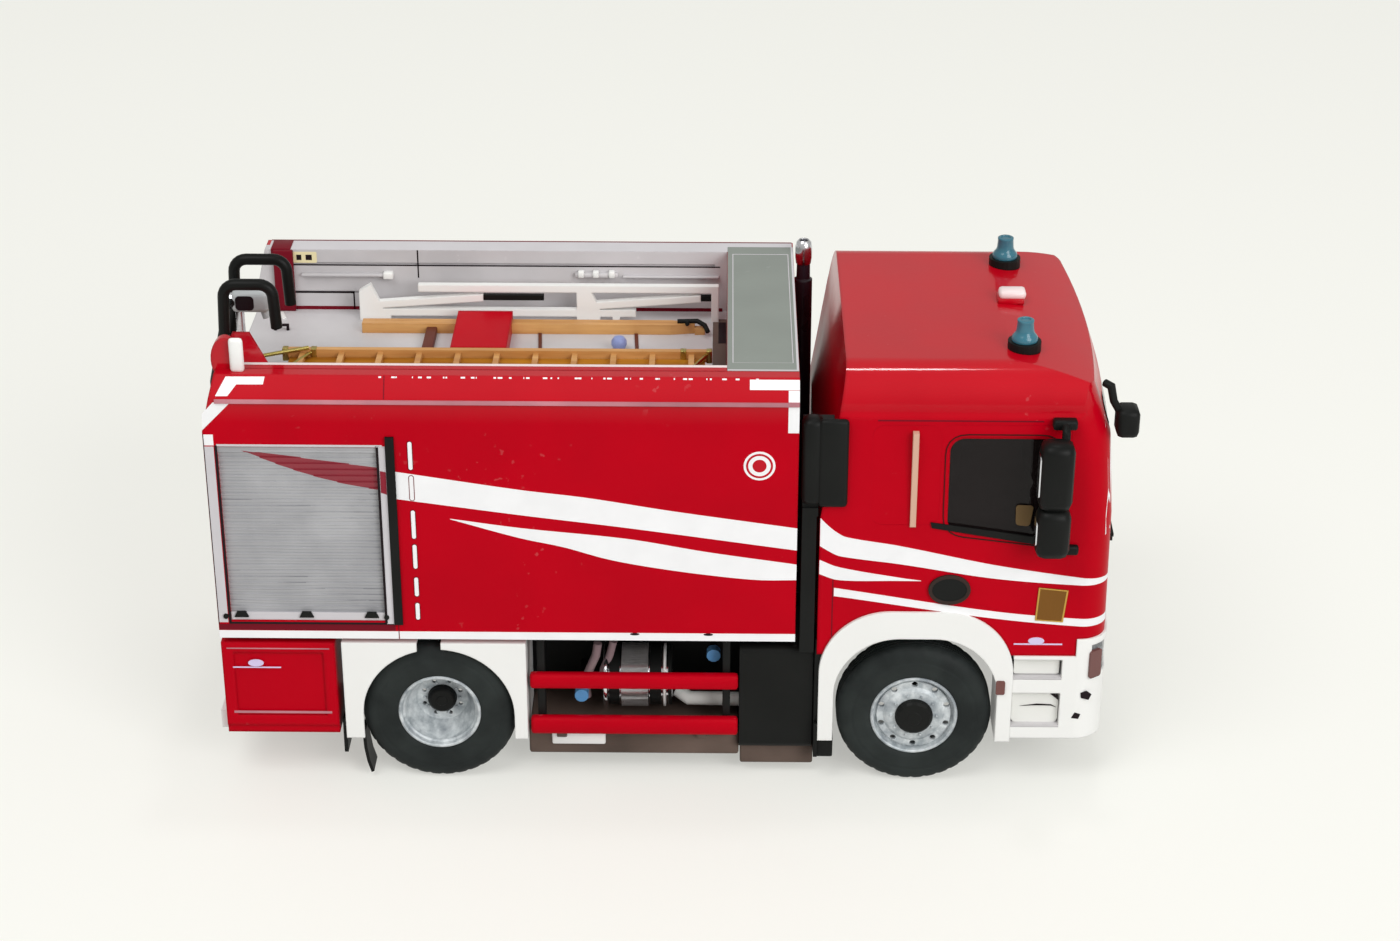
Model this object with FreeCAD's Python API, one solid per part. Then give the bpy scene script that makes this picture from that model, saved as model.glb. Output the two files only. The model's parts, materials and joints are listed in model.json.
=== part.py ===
import FreeCAD, Part
import math
import os

Vec = FreeCAD.Vector

# Fire engine, a scale model at 1:87. All lengths are millimetres. +X runs forward,
# +Y to the vehicle's left and +Z up from the floor. Places along X are measured from
# the rear axle until the pieces are written out, when the middle of the model's
# length moves to the origin.

# Overrun of every cutting shape
cut_over = 0.5

# How far an edge may lean from a direction and still run along it
parallel_share = 0.001

# Turn of a ring that brings a flat, and not a corner, to its first direction
half_step = 0.5

# Main sizes
wheelbase = 36.73
tyre_radius = 6.0
body_half_width = 14.35
body_height = 21.59
body_overhang = 16.48
body_clearance = 0.8
cab_side_set = 0.35
cab_height = 23.2
cab_nose_length = 14.55
cab_tail_length = 7.63
cab_body_gap = 1.69
cab_skirt_drop = 0.5

rear_axle = 0
front_axle = rear_axle + wheelbase
tyre_top = 2 * tyre_radius
cab_half_width = body_half_width - cab_side_set
cab_rear = front_axle - cab_tail_length
cab_front = front_axle + cab_nose_length
cab_bottom = tyre_top - cab_skirt_drop
cab_roof = cab_bottom + cab_height
body_rear = rear_axle - body_overhang
body_front = cab_rear - cab_body_gap
body_bottom = tyre_top + body_clearance
body_top = body_bottom + body_height

# Wheels and axles
tyre_width = 3.0
tyre_side_drop = 0.65
tyre_shoulder = 0.5
twin_tyre_width = 2.6
twin_tyre_gap = 0.5
rear_tyre_inset = 0.35
front_rim_radius = 3.37
rear_rim_radius = 3.19
rim_lip_width = 0.3
rim_lip_depth = 0.1
front_disc_depth = 0.4
front_disc_ring_inset = 1.27
front_disc_ring_rise = 0.22
front_hub_radius = 1.43
front_hub_stand = 0.55
hub_edge = 0.2
rear_dish_depth = 2.4
rear_dish_floor_inset = 1.29
rear_hub_radius = 1.1
rear_hub_stand = 0.6
hub_sides = 20
hand_hole_radius = 0.3
hand_hole_depth = 0.6
hand_hole_sides = 6
front_hand_hole_count = 10
rear_hand_hole_count = 8
rod_radius = 0.75
rod_clearance = 0.05

front_tyre_face = cab_half_width
rear_tyre_face = body_half_width - rear_tyre_inset
twin_inner_face = rear_tyre_face - twin_tyre_width - twin_tyre_gap
twin_inner_end = twin_inner_face - twin_tyre_width
front_disc_ring_radius = front_rim_radius - front_disc_ring_inset
rear_dish_floor_radius = rear_rim_radius - rear_dish_floor_inset

# Chassis
rail_inner = 3.4
rail_width = 1.0
rail_height = 2.0
rail_axle_rise = 1.4
rail_rear_inset = 2.28
rail_front_inset = 2.68
cross_member_width = 1.2
cross_places_share = (0.0, 0.2, 0.4, 0.55, 0.78, 0.98)
carrier_half_length = 1.9
carrier_drop = 1.3
carrier_inner = 2.6
carrier_outer = 5.0
drive_case_radius = 1.9
drive_case_half = 1.6
drive_shaft_half = 0.5
gearbox_length = 8.7
gearbox_axle_gap = 3.53
gearbox_half_width = 2.0
gearbox_drop = 2.5
subframe_thickness = 0.8
bearer_length = 1.4
bearer_places_share = (0.02, 0.29, 0.62, 0.98)
cab_mount_axle_gap = 4.13
cab_mount_nose_gap = 5.28
cab_mount_half = 4.6
cab_mount_lap = 1.0
screw_boss_behind = 9.2
screw_boss_radius = 2.0
screw_bore_radius = 0.9
screw_boss_drop = 1.8

rail_bottom = tyre_radius + rail_axle_rise
rail_top = rail_bottom + rail_height
rail_outer = rail_inner + rail_width
rail_rear = body_rear + rail_rear_inset
rail_front = cab_front - rail_front_inset
carrier_bottom = tyre_radius - carrier_drop
gearbox_front = front_axle - gearbox_axle_gap
gearbox_rear = gearbox_front - gearbox_length
gearbox_bottom = rail_bottom - gearbox_drop
cab_mount_rear = front_axle - cab_mount_axle_gap
cab_mount_front = cab_front - cab_mount_nose_gap
screw_boss_place = rear_axle - screw_boss_behind
screw_boss_bottom = rail_bottom - screw_boss_drop

# Trailer coupling
coupling_reach = 0.52
coupling_half_width = 1.3
coupling_drop = 0.8
coupling_height = 2.4
coupling_mouth = 0.8
coupling_bore_radius = 0.6
coupling_bore_from_rear = 1.2

coupling_rear = body_rear - coupling_reach
coupling_front = rail_rear
coupling_bottom = rail_bottom - coupling_drop
coupling_top = coupling_bottom + coupling_height

# Body box behind the cab
body_wall = 1.0
body_chamfer_width = 1.05
body_chamfer_drop = 1.54
rear_slope_drop = 4.19
rear_slope_run = 1.1
gutter_width = 0.15
gutter_height = 0.3

body_ridge = body_top - body_chamfer_drop
rear_slope_start = body_top - rear_slope_drop

# Roof tray and the locker in front of it
tray_side_margin = 2.15
tray_wall = 1.0
tray_depth = 5.24
deck_thickness = 0.8
locker_length = 5.33
tray_rear_gap = 0.1
tray_groove_depth = 0.15
tray_groove_height = 0.18
tray_upper_groove_rise = 3.95
tray_lower_groove_rise = 1.45
tray_lower_groove_length = 8.48
locker_lid_margin = 1.38
locker_lid_thickness = 0.5
locker_lid_rim = 0.35
corner_header_width = 5.7
corner_header_length = 3.6
corner_header_slant = 2.3

tray_outer_half = body_half_width - tray_side_margin
tray_inner_half = tray_outer_half - tray_wall
corner_header_side = -tray_inner_half + corner_header_width
tray_front = body_front - locker_length
deck_top = body_top - tray_depth
deck_bottom = deck_top - deck_thickness
locker_lid_half = tray_outer_half - locker_lid_margin

# Roller shutters
shutter_rear_margin = 0.98
shutter_length = 12.2
shutter_sill = 1.5
shutter_head_drop = 5.39
shutter_thickness = 0.7
shutter_recess = 0.25
shutter_slat_pitch = 0.49
shutter_slat_depth = 0.1
shutter_foot_height = 0.65
shutter_head_height = 0.5
tail_shutter_width = 11.8
tail_shutter_margin = 2.75
tail_shutter_clearance = 0.05
post_gap = 0.25
post_width = 0.65
post_stand = 0.2
post_foot = 0.2
post_head = 0.9

shutter_rear = body_rear + shutter_rear_margin
shutter_front = shutter_rear + shutter_length
shutter_bottom = body_bottom + shutter_sill
shutter_top = body_top - shutter_head_drop
tail_shutter_left = body_half_width - tail_shutter_margin
tail_shutter_right = tail_shutter_left - tail_shutter_width

# Rear fenders and mudflaps
fender_bottom = 3.9
fender_top_gap = 0.4
fender_well_clearance = 0.35
fender_side_margin = 0.7
fender_shift = 0.2
fender_inner_margin = 0.7
fender_lip_overlap = 0.15
fender_lip_gap = 0.1
fender_gap_behind = 1.5
fender_gap_ahead = 0.35
flap_thickness = 0.3
flap_bottom = 2.4
flap_height = 3.0
flap_width = 5.4

fender_well_radius = tyre_radius + fender_well_clearance
fender_half_length = fender_well_radius + fender_side_margin
fender_rear = rear_axle - fender_half_length - fender_shift
fender_front = rear_axle + fender_half_length - fender_shift
fender_top = body_bottom - fender_top_gap
fender_face = body_half_width
fender_inner = twin_inner_end - fender_inner_margin
fender_lip_radius = tyre_radius - fender_lip_overlap
fender_lip_back = rear_tyre_face + fender_lip_gap

# Lower lockers behind the rear wheels
locker_bottom = 4.2
locker_top_gap = 0.5
locker_inset = 0.15
locker_width = 5.0
locker_flap_gap = 0.25
locker_panel_margin = 0.9
locker_panel_depth = 0.15
locker_ledge = 0.7

locker_front = fender_rear - flap_thickness - locker_flap_gap
locker_top = body_bottom - locker_top_gap
locker_face = body_half_width - locker_inset
locker_inner = locker_face - locker_width

# Front fenders
arch_well_clearance = 0.3
arch_well_headroom = 1.0
arch_side_margin = 1.15
arch_top_margin = 2.3
arch_bottom = 3.9
arch_corner = 5.4
arch_well_corner = 5.0
arch_stand = 0.25
arch_inner_margin = 0.6

arch_well_half = tyre_radius + arch_well_clearance
arch_half_length = arch_well_half + arch_side_margin
arch_well_top = tyre_top + arch_well_headroom
arch_top = arch_well_top + arch_top_margin
arch_face = cab_half_width + arch_stand
arch_inner = front_tyre_face - tyre_width - arch_inner_margin
arch_rear = front_axle - arch_half_length
arch_front = front_axle + arch_half_length

# Side guards and what hangs between the wheels, placed along the bay between the
# rear fender and the chassis box
guard_fender_gap = 0.21
guard_box_gap = 0.1
guard_upper_drop = 4.62
guard_upper_height = 1.25
guard_lower_bottom = 4.1
guard_lower_height = 1.46
guard_inset = 0.35
guard_thickness = 0.8
guard_post_width = 0.7
guard_post_inset = 2.4
box_length = 5.68
box_flap_gap = 0.1
box_bottom = 2.6
box_top_gap = 1.1
box_inset = 0.95
box_corner = 0.6
drum_ends_share = (0.352, 0.682)
drum_band_share = (0.222, 0.667)
drum_radius = 2.65
drum_waist_radius = 2.3
drum_flange_width = 0.4
drum_sides = 28
drum_drop = 0.4
drum_guard_inset = 3.6
pipe_rear_share = 0.761
pipe_radius = 0.55
pipe_drop = 1.1
cap_upper_share = 0.878
cap_lower_share = 0.248
cap_radius = 0.55
cap_length = 0.8
cap_sides = 12
cap_upper_rise = 0.6
cap_lower_drop = 1.1
cap_boss_length = 1.4
air_tank_ends_share = (0.107, 0.89)
air_tank_radius = 2.2
air_tank_drop = 0.5
air_tank_guard_inset = 3.2
air_tank_end = 0.6
air_tank_sides = 20

guard_rear = fender_front + guard_fender_gap
box_front = arch_rear - flap_thickness - box_flap_gap
box_rear = box_front - box_length
box_top = body_bottom - box_top_gap
box_face = body_half_width - box_inset
guard_front = box_rear - guard_box_gap
guard_upper_bottom = body_bottom - guard_upper_drop
guard_face = body_half_width - guard_inset
guard_back = guard_face - guard_thickness
bay_length = box_rear - fender_front
drum_centre_height = rail_bottom - drum_drop
drum_centre_side = guard_back - drum_guard_inset
pipe_height = drum_centre_height - pipe_drop
cap_upper_place = fender_front + bay_length * cap_upper_share
cap_upper_height = rail_top + cap_upper_rise
cap_lower_place = fender_front + bay_length * cap_lower_share
cap_lower_height = rail_bottom - cap_lower_drop
air_tank_height = rail_bottom - air_tank_drop
air_tank_side = guard_back - air_tank_guard_inset

# Cab: heights of its sections, with the rear wall, front wall and half width there
cab_sill_rise = 11.5
cab_brow_drop = 5.3
cab_loft_over = 0.8
cab_rear_lean = 1.9
cab_front_sill_set = 0.18
cab_front_brow_set = 0.65
cab_front_top_set = 2.75
cab_brow_width_set = 0.35
cab_top_width_set = 0.65
cab_front_bulge = 0.6
cab_corner = 2.2
cab_seam_lap = 0.3
cab_roof_corner = 3.0
cab_roof_break_inset = 8.08
cab_roof_nose_inset = 4.38
cab_roof_nose_drop = 1.9
cab_roof_nose_mid_drop = 0.45
cab_wall = 0.9
glass_recess = 0.15
glass_thickness = 0.4
side_window_axle_gap = 1.87
side_window_nose_gap = 4.68
side_window_roof_gap = 5.0
side_window_rear_drop = 0.8
side_window_front_drop = 1.8
side_window_corner = 1.1
windscreen_sill_drop = 3.6
windscreen_roof_gap = 3.5
windscreen_margin = 2.9
windscreen_corner = 0.8
windscreen_back = 3.6
cab_floor_rise = 0.2
cab_floor_thickness = 0.7
cab_floor_clearance = 0.05

cab_sill = cab_bottom + cab_sill_rise
cab_brow = cab_roof - cab_brow_drop
cab_loft_top = cab_roof + cab_loft_over
cab_roof_break = cab_front - cab_roof_break_inset
cab_roof_nose_mid = cab_front - cab_roof_nose_inset
side_window_rear = front_axle + side_window_axle_gap
side_window_front = cab_front - side_window_nose_gap
side_window_top = cab_roof - side_window_roof_gap
side_window_rear_sill = cab_sill - side_window_rear_drop
side_window_front_sill = cab_sill - side_window_front_drop
windscreen_bottom = cab_sill - windscreen_sill_drop
windscreen_top = cab_roof - windscreen_roof_gap
windscreen_half = cab_half_width - windscreen_margin
cab_floor_bottom = arch_top + cab_floor_rise
cab_floor_top = cab_floor_bottom + cab_floor_thickness

# Inside the cab
seat_back_thickness = 1.2
seat_cushion_length = 4.2
seat_cushion_height = 1.6
seat_base_height = 2.6
seat_height = 8.6
seat_width = 4.6
seat_side = 7.2
seat_axle_gap = 0.27
bench_wall_gap = 1.95
bench_side_gap = 3.0
dash_depth = 3.4
dash_height = 4.4
dash_side_gap = 2.2
wheel_rim_radius = 2.1
wheel_rim_width = 0.4
wheel_rim_sides = 16
steering_tilt_degrees = 28.0
steering_column_length = 2.6
steering_column_width = 0.8

seat_place = front_axle + seat_axle_gap
bench_place = cab_rear + bench_wall_gap
bench_half_width = cab_half_width - bench_side_gap
dash_half_width = cab_half_width - dash_side_gap

# Cab front
grille_rise = 2.4
grille_height = 3.9
grille_margin = 5.4
grille_slot_count = 4
grille_slot_height = 0.45
grille_slot_depth = 0.3
bumper_stand = 0.15
bumper_bottom = 4.2
bumper_beam = 2.2
bumper_side_depth = 3.0
bumper_corner_height = 1.5
bumper_corner_inset = 2.38
lamp_rise = 0.9
lamp_height = 2.7
lamp_margin = 5.6
lamp_depth = 1.18
lamp_recess = 0.12
step_nose_gap = 3.38
step_ceiling_drop = 0.3
step_upper_height = 1.75
step_riser = 1.2
step_lower_rise = 1.0
step_depth = 2.6
tread_thickness = 0.2
intake_slot_rise = 1.4
intake_slot_height = 3.0
intake_slot_margin = 6.6
intake_slot_depth = 0.6

grille_bottom = cab_bottom + grille_rise
grille_top = grille_bottom + grille_height
grille_half_width = cab_half_width - grille_margin
bumper_corner_rise = cab_bottom + bumper_corner_height
bumper_corner_place = cab_front - bumper_corner_inset
lamp_top = cab_bottom + lamp_rise
lamp_bottom = lamp_top - lamp_height
lamp_inner = cab_half_width - lamp_margin
lamp_back = cab_front - lamp_depth
step_rear = arch_front
step_front = cab_front - step_nose_gap
step_upper_ceiling = cab_bottom - step_ceiling_drop
step_upper_tread = step_upper_ceiling - step_upper_height
step_lower_ceiling = step_upper_tread - step_riser
step_lower_tread = bumper_bottom + step_lower_rise
intake_slot_bottom = bumper_bottom + intake_slot_rise
intake_slot_top = intake_slot_bottom + intake_slot_height
intake_slot_half = cab_half_width - intake_slot_margin

# Roof of the cab
beacon_nose_gap = 7.04
beacon_side_gap = 5.71
beacon_base_radius = 1.25
beacon_base_height = 0.6
beacon_flare_radius = 1.05
beacon_waist_radius = 0.7
beacon_cap_radius = 0.8
beacon_height = 2.3
beacon_sides = 20
beacon_flare_height = 0.9
beacon_shoulder_height = 0.25
beacon_cap_height = 0.5
roof_lamp_nose_gap = 7.68
roof_lamp_length = 2.2
roof_lamp_width = 1.8
roof_lamp_height = 1.0
roof_seat_sink = 0.15

beacon_place = cab_front - beacon_nose_gap
beacon_side = cab_half_width - beacon_side_gap
roof_lamp_place = cab_front - roof_lamp_nose_gap

# Mirrors
mirror_nose_gap = 3.28
mirror_length = 3.1
mirror_side_gap = 0.75
mirror_width = 2.25
mirror_roof_gap = 4.1
mirror_upper_height = 5.3
mirror_split = 0.4
mirror_lower_height = 3.5
mirror_corner = 0.5
mirror_arm_width = 0.6
mirror_arm_over = 0.7
mirror_arm_under = 0.5
mirror_arm_inset = 1.1
kerb_mirror_reach = 1.62
kerb_mirror_depth = 0.9
kerb_mirror_side_gap = 0.6
kerb_mirror_width = 2.0
kerb_mirror_height = 2.1
kerb_mirror_roof_gap = 3.1
kerb_mirror_corner = 0.45
kerb_arm_width = 0.5
kerb_arm_root_drop = 2.1
kerb_arm_crest_drop = 1.6
kerb_arm_root_gap = 3.28

mirror_front = cab_front - mirror_nose_gap
mirror_rear = mirror_front - mirror_length
mirror_inner = cab_half_width + mirror_side_gap
mirror_outer = mirror_inner + mirror_width
mirror_upper_top = cab_roof - mirror_roof_gap
mirror_upper_bottom = mirror_upper_top - mirror_upper_height
mirror_lower_top = mirror_upper_bottom - mirror_split
mirror_lower_bottom = mirror_lower_top - mirror_lower_height
mirror_arm_top = mirror_upper_top + mirror_arm_over
mirror_arm_bottom = mirror_lower_bottom - mirror_arm_under
mirror_arm_place = mirror_front - mirror_arm_inset
kerb_mirror_front = cab_front + kerb_mirror_reach
kerb_mirror_outer = cab_half_width - kerb_mirror_side_gap
kerb_mirror_top = cab_roof - kerb_mirror_roof_gap
kerb_mirror_bottom = kerb_mirror_top - kerb_mirror_height
kerb_arm_root_place = cab_front - kerb_arm_root_gap
kerb_arm_root_height = cab_roof - kerb_arm_root_drop
kerb_arm_crest = cab_roof - kerb_arm_crest_drop

# Behind the cab
stack_side_gap = 3.35
stack_clearance = 0.065
stack_radius = 0.65
stack_sides = 16
stack_over_cab = 0.9
stack_upper_length = 3.3
stack_tip = 0.3
snorkel_body_gap = 0.34
snorkel_cab_gap = 0.15
snorkel_stand = 0.1
snorkel_width = 1.7
snorkel_roof_gap = 3.7
snorkel_height = 7.6
snorkel_hood_length = 1.1
snorkel_hood_height = 2.2
snorkel_rib_count = 4
snorkel_rib_height = 0.5
snorkel_rib_depth = 0.2
snorkel_duct_length = 1.1

stack_side = body_half_width - stack_side_gap
stack_place = (body_front + cab_rear) / 2
stack_lower_radius = cab_body_gap / 2 - stack_clearance
stack_top = cab_roof + stack_over_cab
stack_step_height = stack_top - stack_upper_length
snorkel_rear = body_front + snorkel_body_gap
snorkel_front = cab_rear - snorkel_cab_gap
snorkel_outer = cab_half_width + snorkel_stand
snorkel_inner = snorkel_outer - snorkel_width
snorkel_top = cab_roof - snorkel_roof_gap
snorkel_bottom = snorkel_top - snorkel_height

# Ladders on the roof
ladder_rear_gap = 4.28
ladder_front_gap = 1.18
ladder_right = -6.45
ladder_left = -1.95
ladder_rise = 2.45
stile_width = 0.5
stile_height = 0.9
rung_size = 0.45
rung_pitch = 3.0
fly_inset = 0.15
fly_drop = 0.95
fly_end_inset = 1.6
saddle_length = 0.8
saddle_overhang = 0.6
saddle_places_share = (0.115, 0.556, 0.931)

ladder_rear = body_rear + ladder_rear_gap
ladder_front = tray_front - ladder_front_gap
ladder_top = deck_top + ladder_rise

# Rack on the roof
rack_wall_gap = 2.0
rack_rear_gap = 8.78
rack_front_gap = 7.38
rack_bar = 0.6
rack_base_rise = 1.05
rack_upper_rear_gap = 4.8
rack_upper_front_gap = 0.68
rack_upper_rise = 3.15
rack_bracket_length = 1.9
rack_second_gap = 4.8
rack_arm_share = 0.40625
rack_arm_rise = 2.35
rack_rod_radius = 0.22
rack_rod_gap = 2.65

rack_side = tray_inner_half - rack_wall_gap
rack_rear = body_rear + rack_rear_gap
rack_front = tray_front - rack_front_gap
rack_arm_length = (rack_front - rack_rear) * rack_arm_share
rack_upper_rear = rack_rear + rack_upper_rear_gap
rack_upper_front = tray_front - rack_upper_front_gap
rack_second_bracket = rack_front - rack_second_gap
rack_base_top = deck_top + rack_base_rise
rack_upper_top = deck_top + rack_upper_rise
rack_arm_end_height = deck_top + rack_arm_rise

# Hook pole and its clamp
pole_ladder_gap = 4.96
pole_front_gap = 4.48
pole_rack_gap = 2.3
pole_width = 1.0
pole_height = 0.85
pole_tip_length = 1.9
pole_tip_half = 0.2
pole_hook_length = 0.8
pole_hook_height = 0.5
clamp_pole_gap = 7.64
clamp_length = 4.4
clamp_ladder_gap = 2.55
clamp_cheek = 1.0
clamp_height = 1.35

pole_rear = ladder_rear + pole_ladder_gap
pole_front = tray_front - pole_front_gap
pole_side = rack_side - pole_rack_gap
clamp_rear = pole_rear + clamp_pole_gap
clamp_right = ladder_left + clamp_ladder_gap
clamp_left = pole_side + clamp_cheek

# Rear ladder and the work lamp
hoop_tube = 0.375
hoop_sides = 8
hoop_right_gap = 2.65
hoop_width = 4.55
hoop_wall_gap = 0.05
hoop_rise = 4.21
hoop_length = 3.13
hoop_free_rise = 1.51
hoop_bend = 1.5
hoop_bend_steps = 3
rear_ladder_rise = 1.8
rear_rung_size = 0.45
rear_rung_pitch = 2.6
rear_rung_rise = 1.2
hoop_bracket_height = 0.6
work_lamp_inset = 0.88
work_lamp_header_gap = 2.3
work_lamp_rise = 1.61
work_lamp_radius = 0.8
work_lamp_length = 1.9
work_lamp_sides = 16
work_lamp_rim = 0.12
work_lamp_post = 0.9
work_lamp_post_thickness = 0.5

hoop_rear = body_rear - hoop_wall_gap
hoop_front = hoop_rear + hoop_length
hoop_top = body_top + hoop_rise
hoop_free_end = body_top + hoop_free_rise
rear_ladder_bottom = body_bottom + rear_ladder_rise
rear_rung_start = rear_ladder_bottom + rear_rung_rise
work_lamp_side = corner_header_side + work_lamp_header_gap
hoop_right = work_lamp_side - hoop_right_gap
hoop_left = hoop_right + hoop_width
work_lamp_place = body_rear + work_lamp_inset
work_lamp_height = body_top + work_lamp_rise

# Small pieces on the outside
grab_axle_gap = 0.93
grab_width = 0.45
grab_stand = 0.2
grab_length = 7.7
grab_roof_gap = 4.4
handle_axle_gap = 2.37
handle_rise = 5.7
handle_length = 3.0
handle_height = 2.2
handle_thickness = 0.15
handle_sides = 16
wiper_width = 0.25
wiper_length = 7.5
wiper_end_rise = 0.9
wiper_lap = 0.5
wiper_side_gap = 5.8
wiper_drop = 0.5
wiper_foot_half = 0.3
tail_lamp_width = 3.2
tail_lamp_height = 1.3
tail_lamp_drop = 3.4
tail_lamp_stand = 0.25
tail_bumper_height = 1.5
tail_bumper_stand = 0.6

grab_place = front_axle - grab_axle_gap
grab_top = cab_roof - grab_roof_gap
handle_place = front_axle + handle_axle_gap
handle_middle = cab_bottom + handle_rise
wiper_side = cab_half_width - wiper_side_gap
wiper_foot_height = windscreen_bottom - wiper_drop
tail_lamp_bottom = body_bottom - tail_lamp_drop

# Middle of the model's length
model_middle = (hoop_rear - 2 * hoop_tube + kerb_mirror_front) / 2


# Plain shapes

def block(x_low, x_high, y_low, y_high, z_low, z_high):
    corner = Vec(x_low, y_low, z_low)
    return Part.makeBox(x_high - x_low, y_high - y_low, z_high - z_low, corner)


def polygon_face(corners):
    return Part.Face(Part.makePolygon(corners + corners[:1]))


def side_prism(points, y_low, y_high):
    face = polygon_face([Vec(x, y_low, z) for x, z in points])
    return face.extrude(Vec(0, y_high - y_low, 0))


def end_prism(points, x_low, x_high):
    face = polygon_face([Vec(x_low, y, z) for y, z in points])
    return face.extrude(Vec(x_high - x_low, 0, 0))


def plan_prism(points, z_low, z_high):
    face = polygon_face([Vec(x, y, z_low) for x, y in points])
    return face.extrude(Vec(0, 0, z_high - z_low))


def rod_between(start, end, radius):
    reach = end - start
    return Part.makeCylinder(radius, reach.Length, start, reach)


def ring_corners(centre, radius, sides, across, up, first=0):
    corners = []
    for number in range(sides):
        angle = 2 * math.pi * (number + first) / sides
        corners.append(centre + across * (radius * math.cos(angle))
                       + up * (radius * math.sin(angle)))
    return corners


def beam(start, end, width, side):
    along = (end - start).normalize()
    up = side.cross(along)
    half = width / 2
    corners = [start + side * half + up * half, start - side * half + up * half,
               start - side * half - up * half, start + side * half - up * half]
    return polygon_face(corners).extrude(end - start)


def left_of(shape):
    return shape.mirror(Vec(0, 0, 0), Vec(0, 1, 0))


def both_sides(shape):
    return Part.makeCompound([shape, left_of(shape)])


def fused(shapes):
    return shapes[0].multiFuse(shapes[1:]).removeSplitter()


def edges_along(shape, direction, keep=None):
    found = []
    for edge in shape.Edges:
        ends = [vertex.Point for vertex in edge.Vertexes]
        run = ends[-1] - ends[0]
        if run.Length > 0 and run.cross(direction).Length < run.Length * parallel_share:
            if keep is None or keep(ends[0]):
                found.append(edge)
    return found


def softened(shape, direction, radius, keep=None):
    return shape.makeFillet(radius, edges_along(shape, direction, keep))


def turned(profile, centre_x):
    corners = [Vec(centre_x + radius, y, tyre_radius) for radius, y in profile]
    axis_point = Vec(centre_x, 0, tyre_radius)
    return polygon_face(corners).revolve(axis_point, Vec(0, 1, 0), 360)


def turned_with_flats(profile, sides, origin, axis, across):
    up = axis.cross(across)
    rings = [ring_corners(origin + axis * along, radius, sides, across, up, first=half_step)
             for along, radius in profile]
    faces = [polygon_face(rings[0]), polygon_face(rings[-1])]
    for low, high in zip(rings, rings[1:]):
        for number in range(sides):
            after = (number + 1) % sides
            faces.append(polygon_face([low[number], low[after], high[after], high[number]]))
    return Part.Solid(Part.Shell(faces)).removeSplitter()


# Wheels

def tyre(centre_x, face, width, bore):
    side = tyre_radius - tyre_side_drop
    return turned([(bore, -face), (side, -face), (tyre_radius, -face + tyre_shoulder),
                   (tyre_radius, -face + width - tyre_shoulder), (side, -face + width),
                   (bore, -face + width)], centre_x)


def hand_holes(centre_x, start, ring_radius, count, depth):
    holes = []
    centre = Vec(centre_x, start - cut_over, tyre_radius)
    for middle in ring_corners(centre, ring_radius, count, Vec(1, 0, 0), Vec(0, 0, 1)):
        outline = ring_corners(middle, hand_hole_radius, hand_hole_sides,
                               Vec(1, 0, 0), Vec(0, 0, 1))
        holes.append(polygon_face(outline).extrude(Vec(0, depth + cut_over, 0)))
    return Part.makeCompound(holes)


def front_tyres():
    return both_sides(tyre(front_axle, front_tyre_face, tyre_width, front_rim_radius))


def front_rims():
    face = -front_tyre_face
    lip = front_rim_radius - rim_lip_width
    ring_outer = front_disc_ring_radius
    disc = face + front_disc_depth
    ring_face = disc - front_disc_ring_rise
    rim = turned([(rod_radius, ring_face), (ring_outer, ring_face),
                  (ring_outer + front_disc_ring_rise, disc), (lip, disc),
                  (lip, face + rim_lip_depth), (front_rim_radius, face + rim_lip_depth),
                  (front_rim_radius, face + tyre_width), (rod_radius, face + tyre_width)],
                 front_axle)
    hole_ring = (ring_outer + front_disc_ring_rise + lip) / 2
    rim = rim.cut(hand_holes(front_axle, disc, hole_ring, front_hand_hole_count,
                             hand_hole_depth))
    return both_sides(rim)


def rear_tyres():
    outer = tyre(rear_axle, rear_tyre_face, twin_tyre_width, rear_rim_radius)
    inner = tyre(rear_axle, twin_inner_face, twin_tyre_width, rear_rim_radius)
    return both_sides(Part.makeCompound([outer, inner]))


def rear_rims():
    face = -rear_tyre_face
    lip = rear_rim_radius - rim_lip_width
    floor = face + rear_dish_depth
    rim = turned([(rod_radius, floor), (rear_dish_floor_radius, floor),
                  (lip, face + rim_lip_depth), (rear_rim_radius, face + rim_lip_depth),
                  (rear_rim_radius, -twin_inner_end), (rod_radius, -twin_inner_end)], rear_axle)
    hole_ring = (rear_dish_floor_radius + rear_hub_radius) / 2
    return both_sides(rim.cut(hand_holes(rear_axle, floor, hole_ring, rear_hand_hole_count,
                                         hand_hole_depth)))


def axle_rod(centre_x, cap_radius_here, cap_base, cap_stand):
    start = Vec(centre_x, -cap_base, tyre_radius)
    rod = Part.makeCylinder(rod_radius, 2 * cap_base, start, Vec(0, 1, 0))
    cap = turned_with_flats([(0, cap_radius_here), (cap_stand - hub_edge, cap_radius_here),
                             (cap_stand, cap_radius_here - hub_edge)], hub_sides,
                            start, Vec(0, -1, 0), Vec(1, 0, 0))
    return fused([rod, cap, left_of(cap)])


def front_axle_rod():
    base = front_tyre_face - front_disc_depth + front_disc_ring_rise
    return axle_rod(front_axle, front_hub_radius, base, front_hub_stand)


def rear_axle_rod():
    return axle_rod(rear_axle, rear_hub_radius, rear_tyre_face - rear_dish_depth,
                    rear_hub_stand)


# Chassis

def rails():
    pieces = []
    for side in (-1, 1):
        low = min(side * rail_inner, side * rail_outer)
        pieces.append(block(rail_rear, rail_front, low, low + rail_width, rail_bottom, rail_top))
    return pieces


def cross_members():
    reach = rail_inner + rail_width / 2
    length = rail_front - rail_rear
    pieces = []
    for share in cross_places_share:
        start = rail_rear + share * (length - cross_member_width)
        pieces.append(block(start, start + cross_member_width, -reach, reach,
                            rail_bottom, rail_top))
    return pieces


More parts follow.
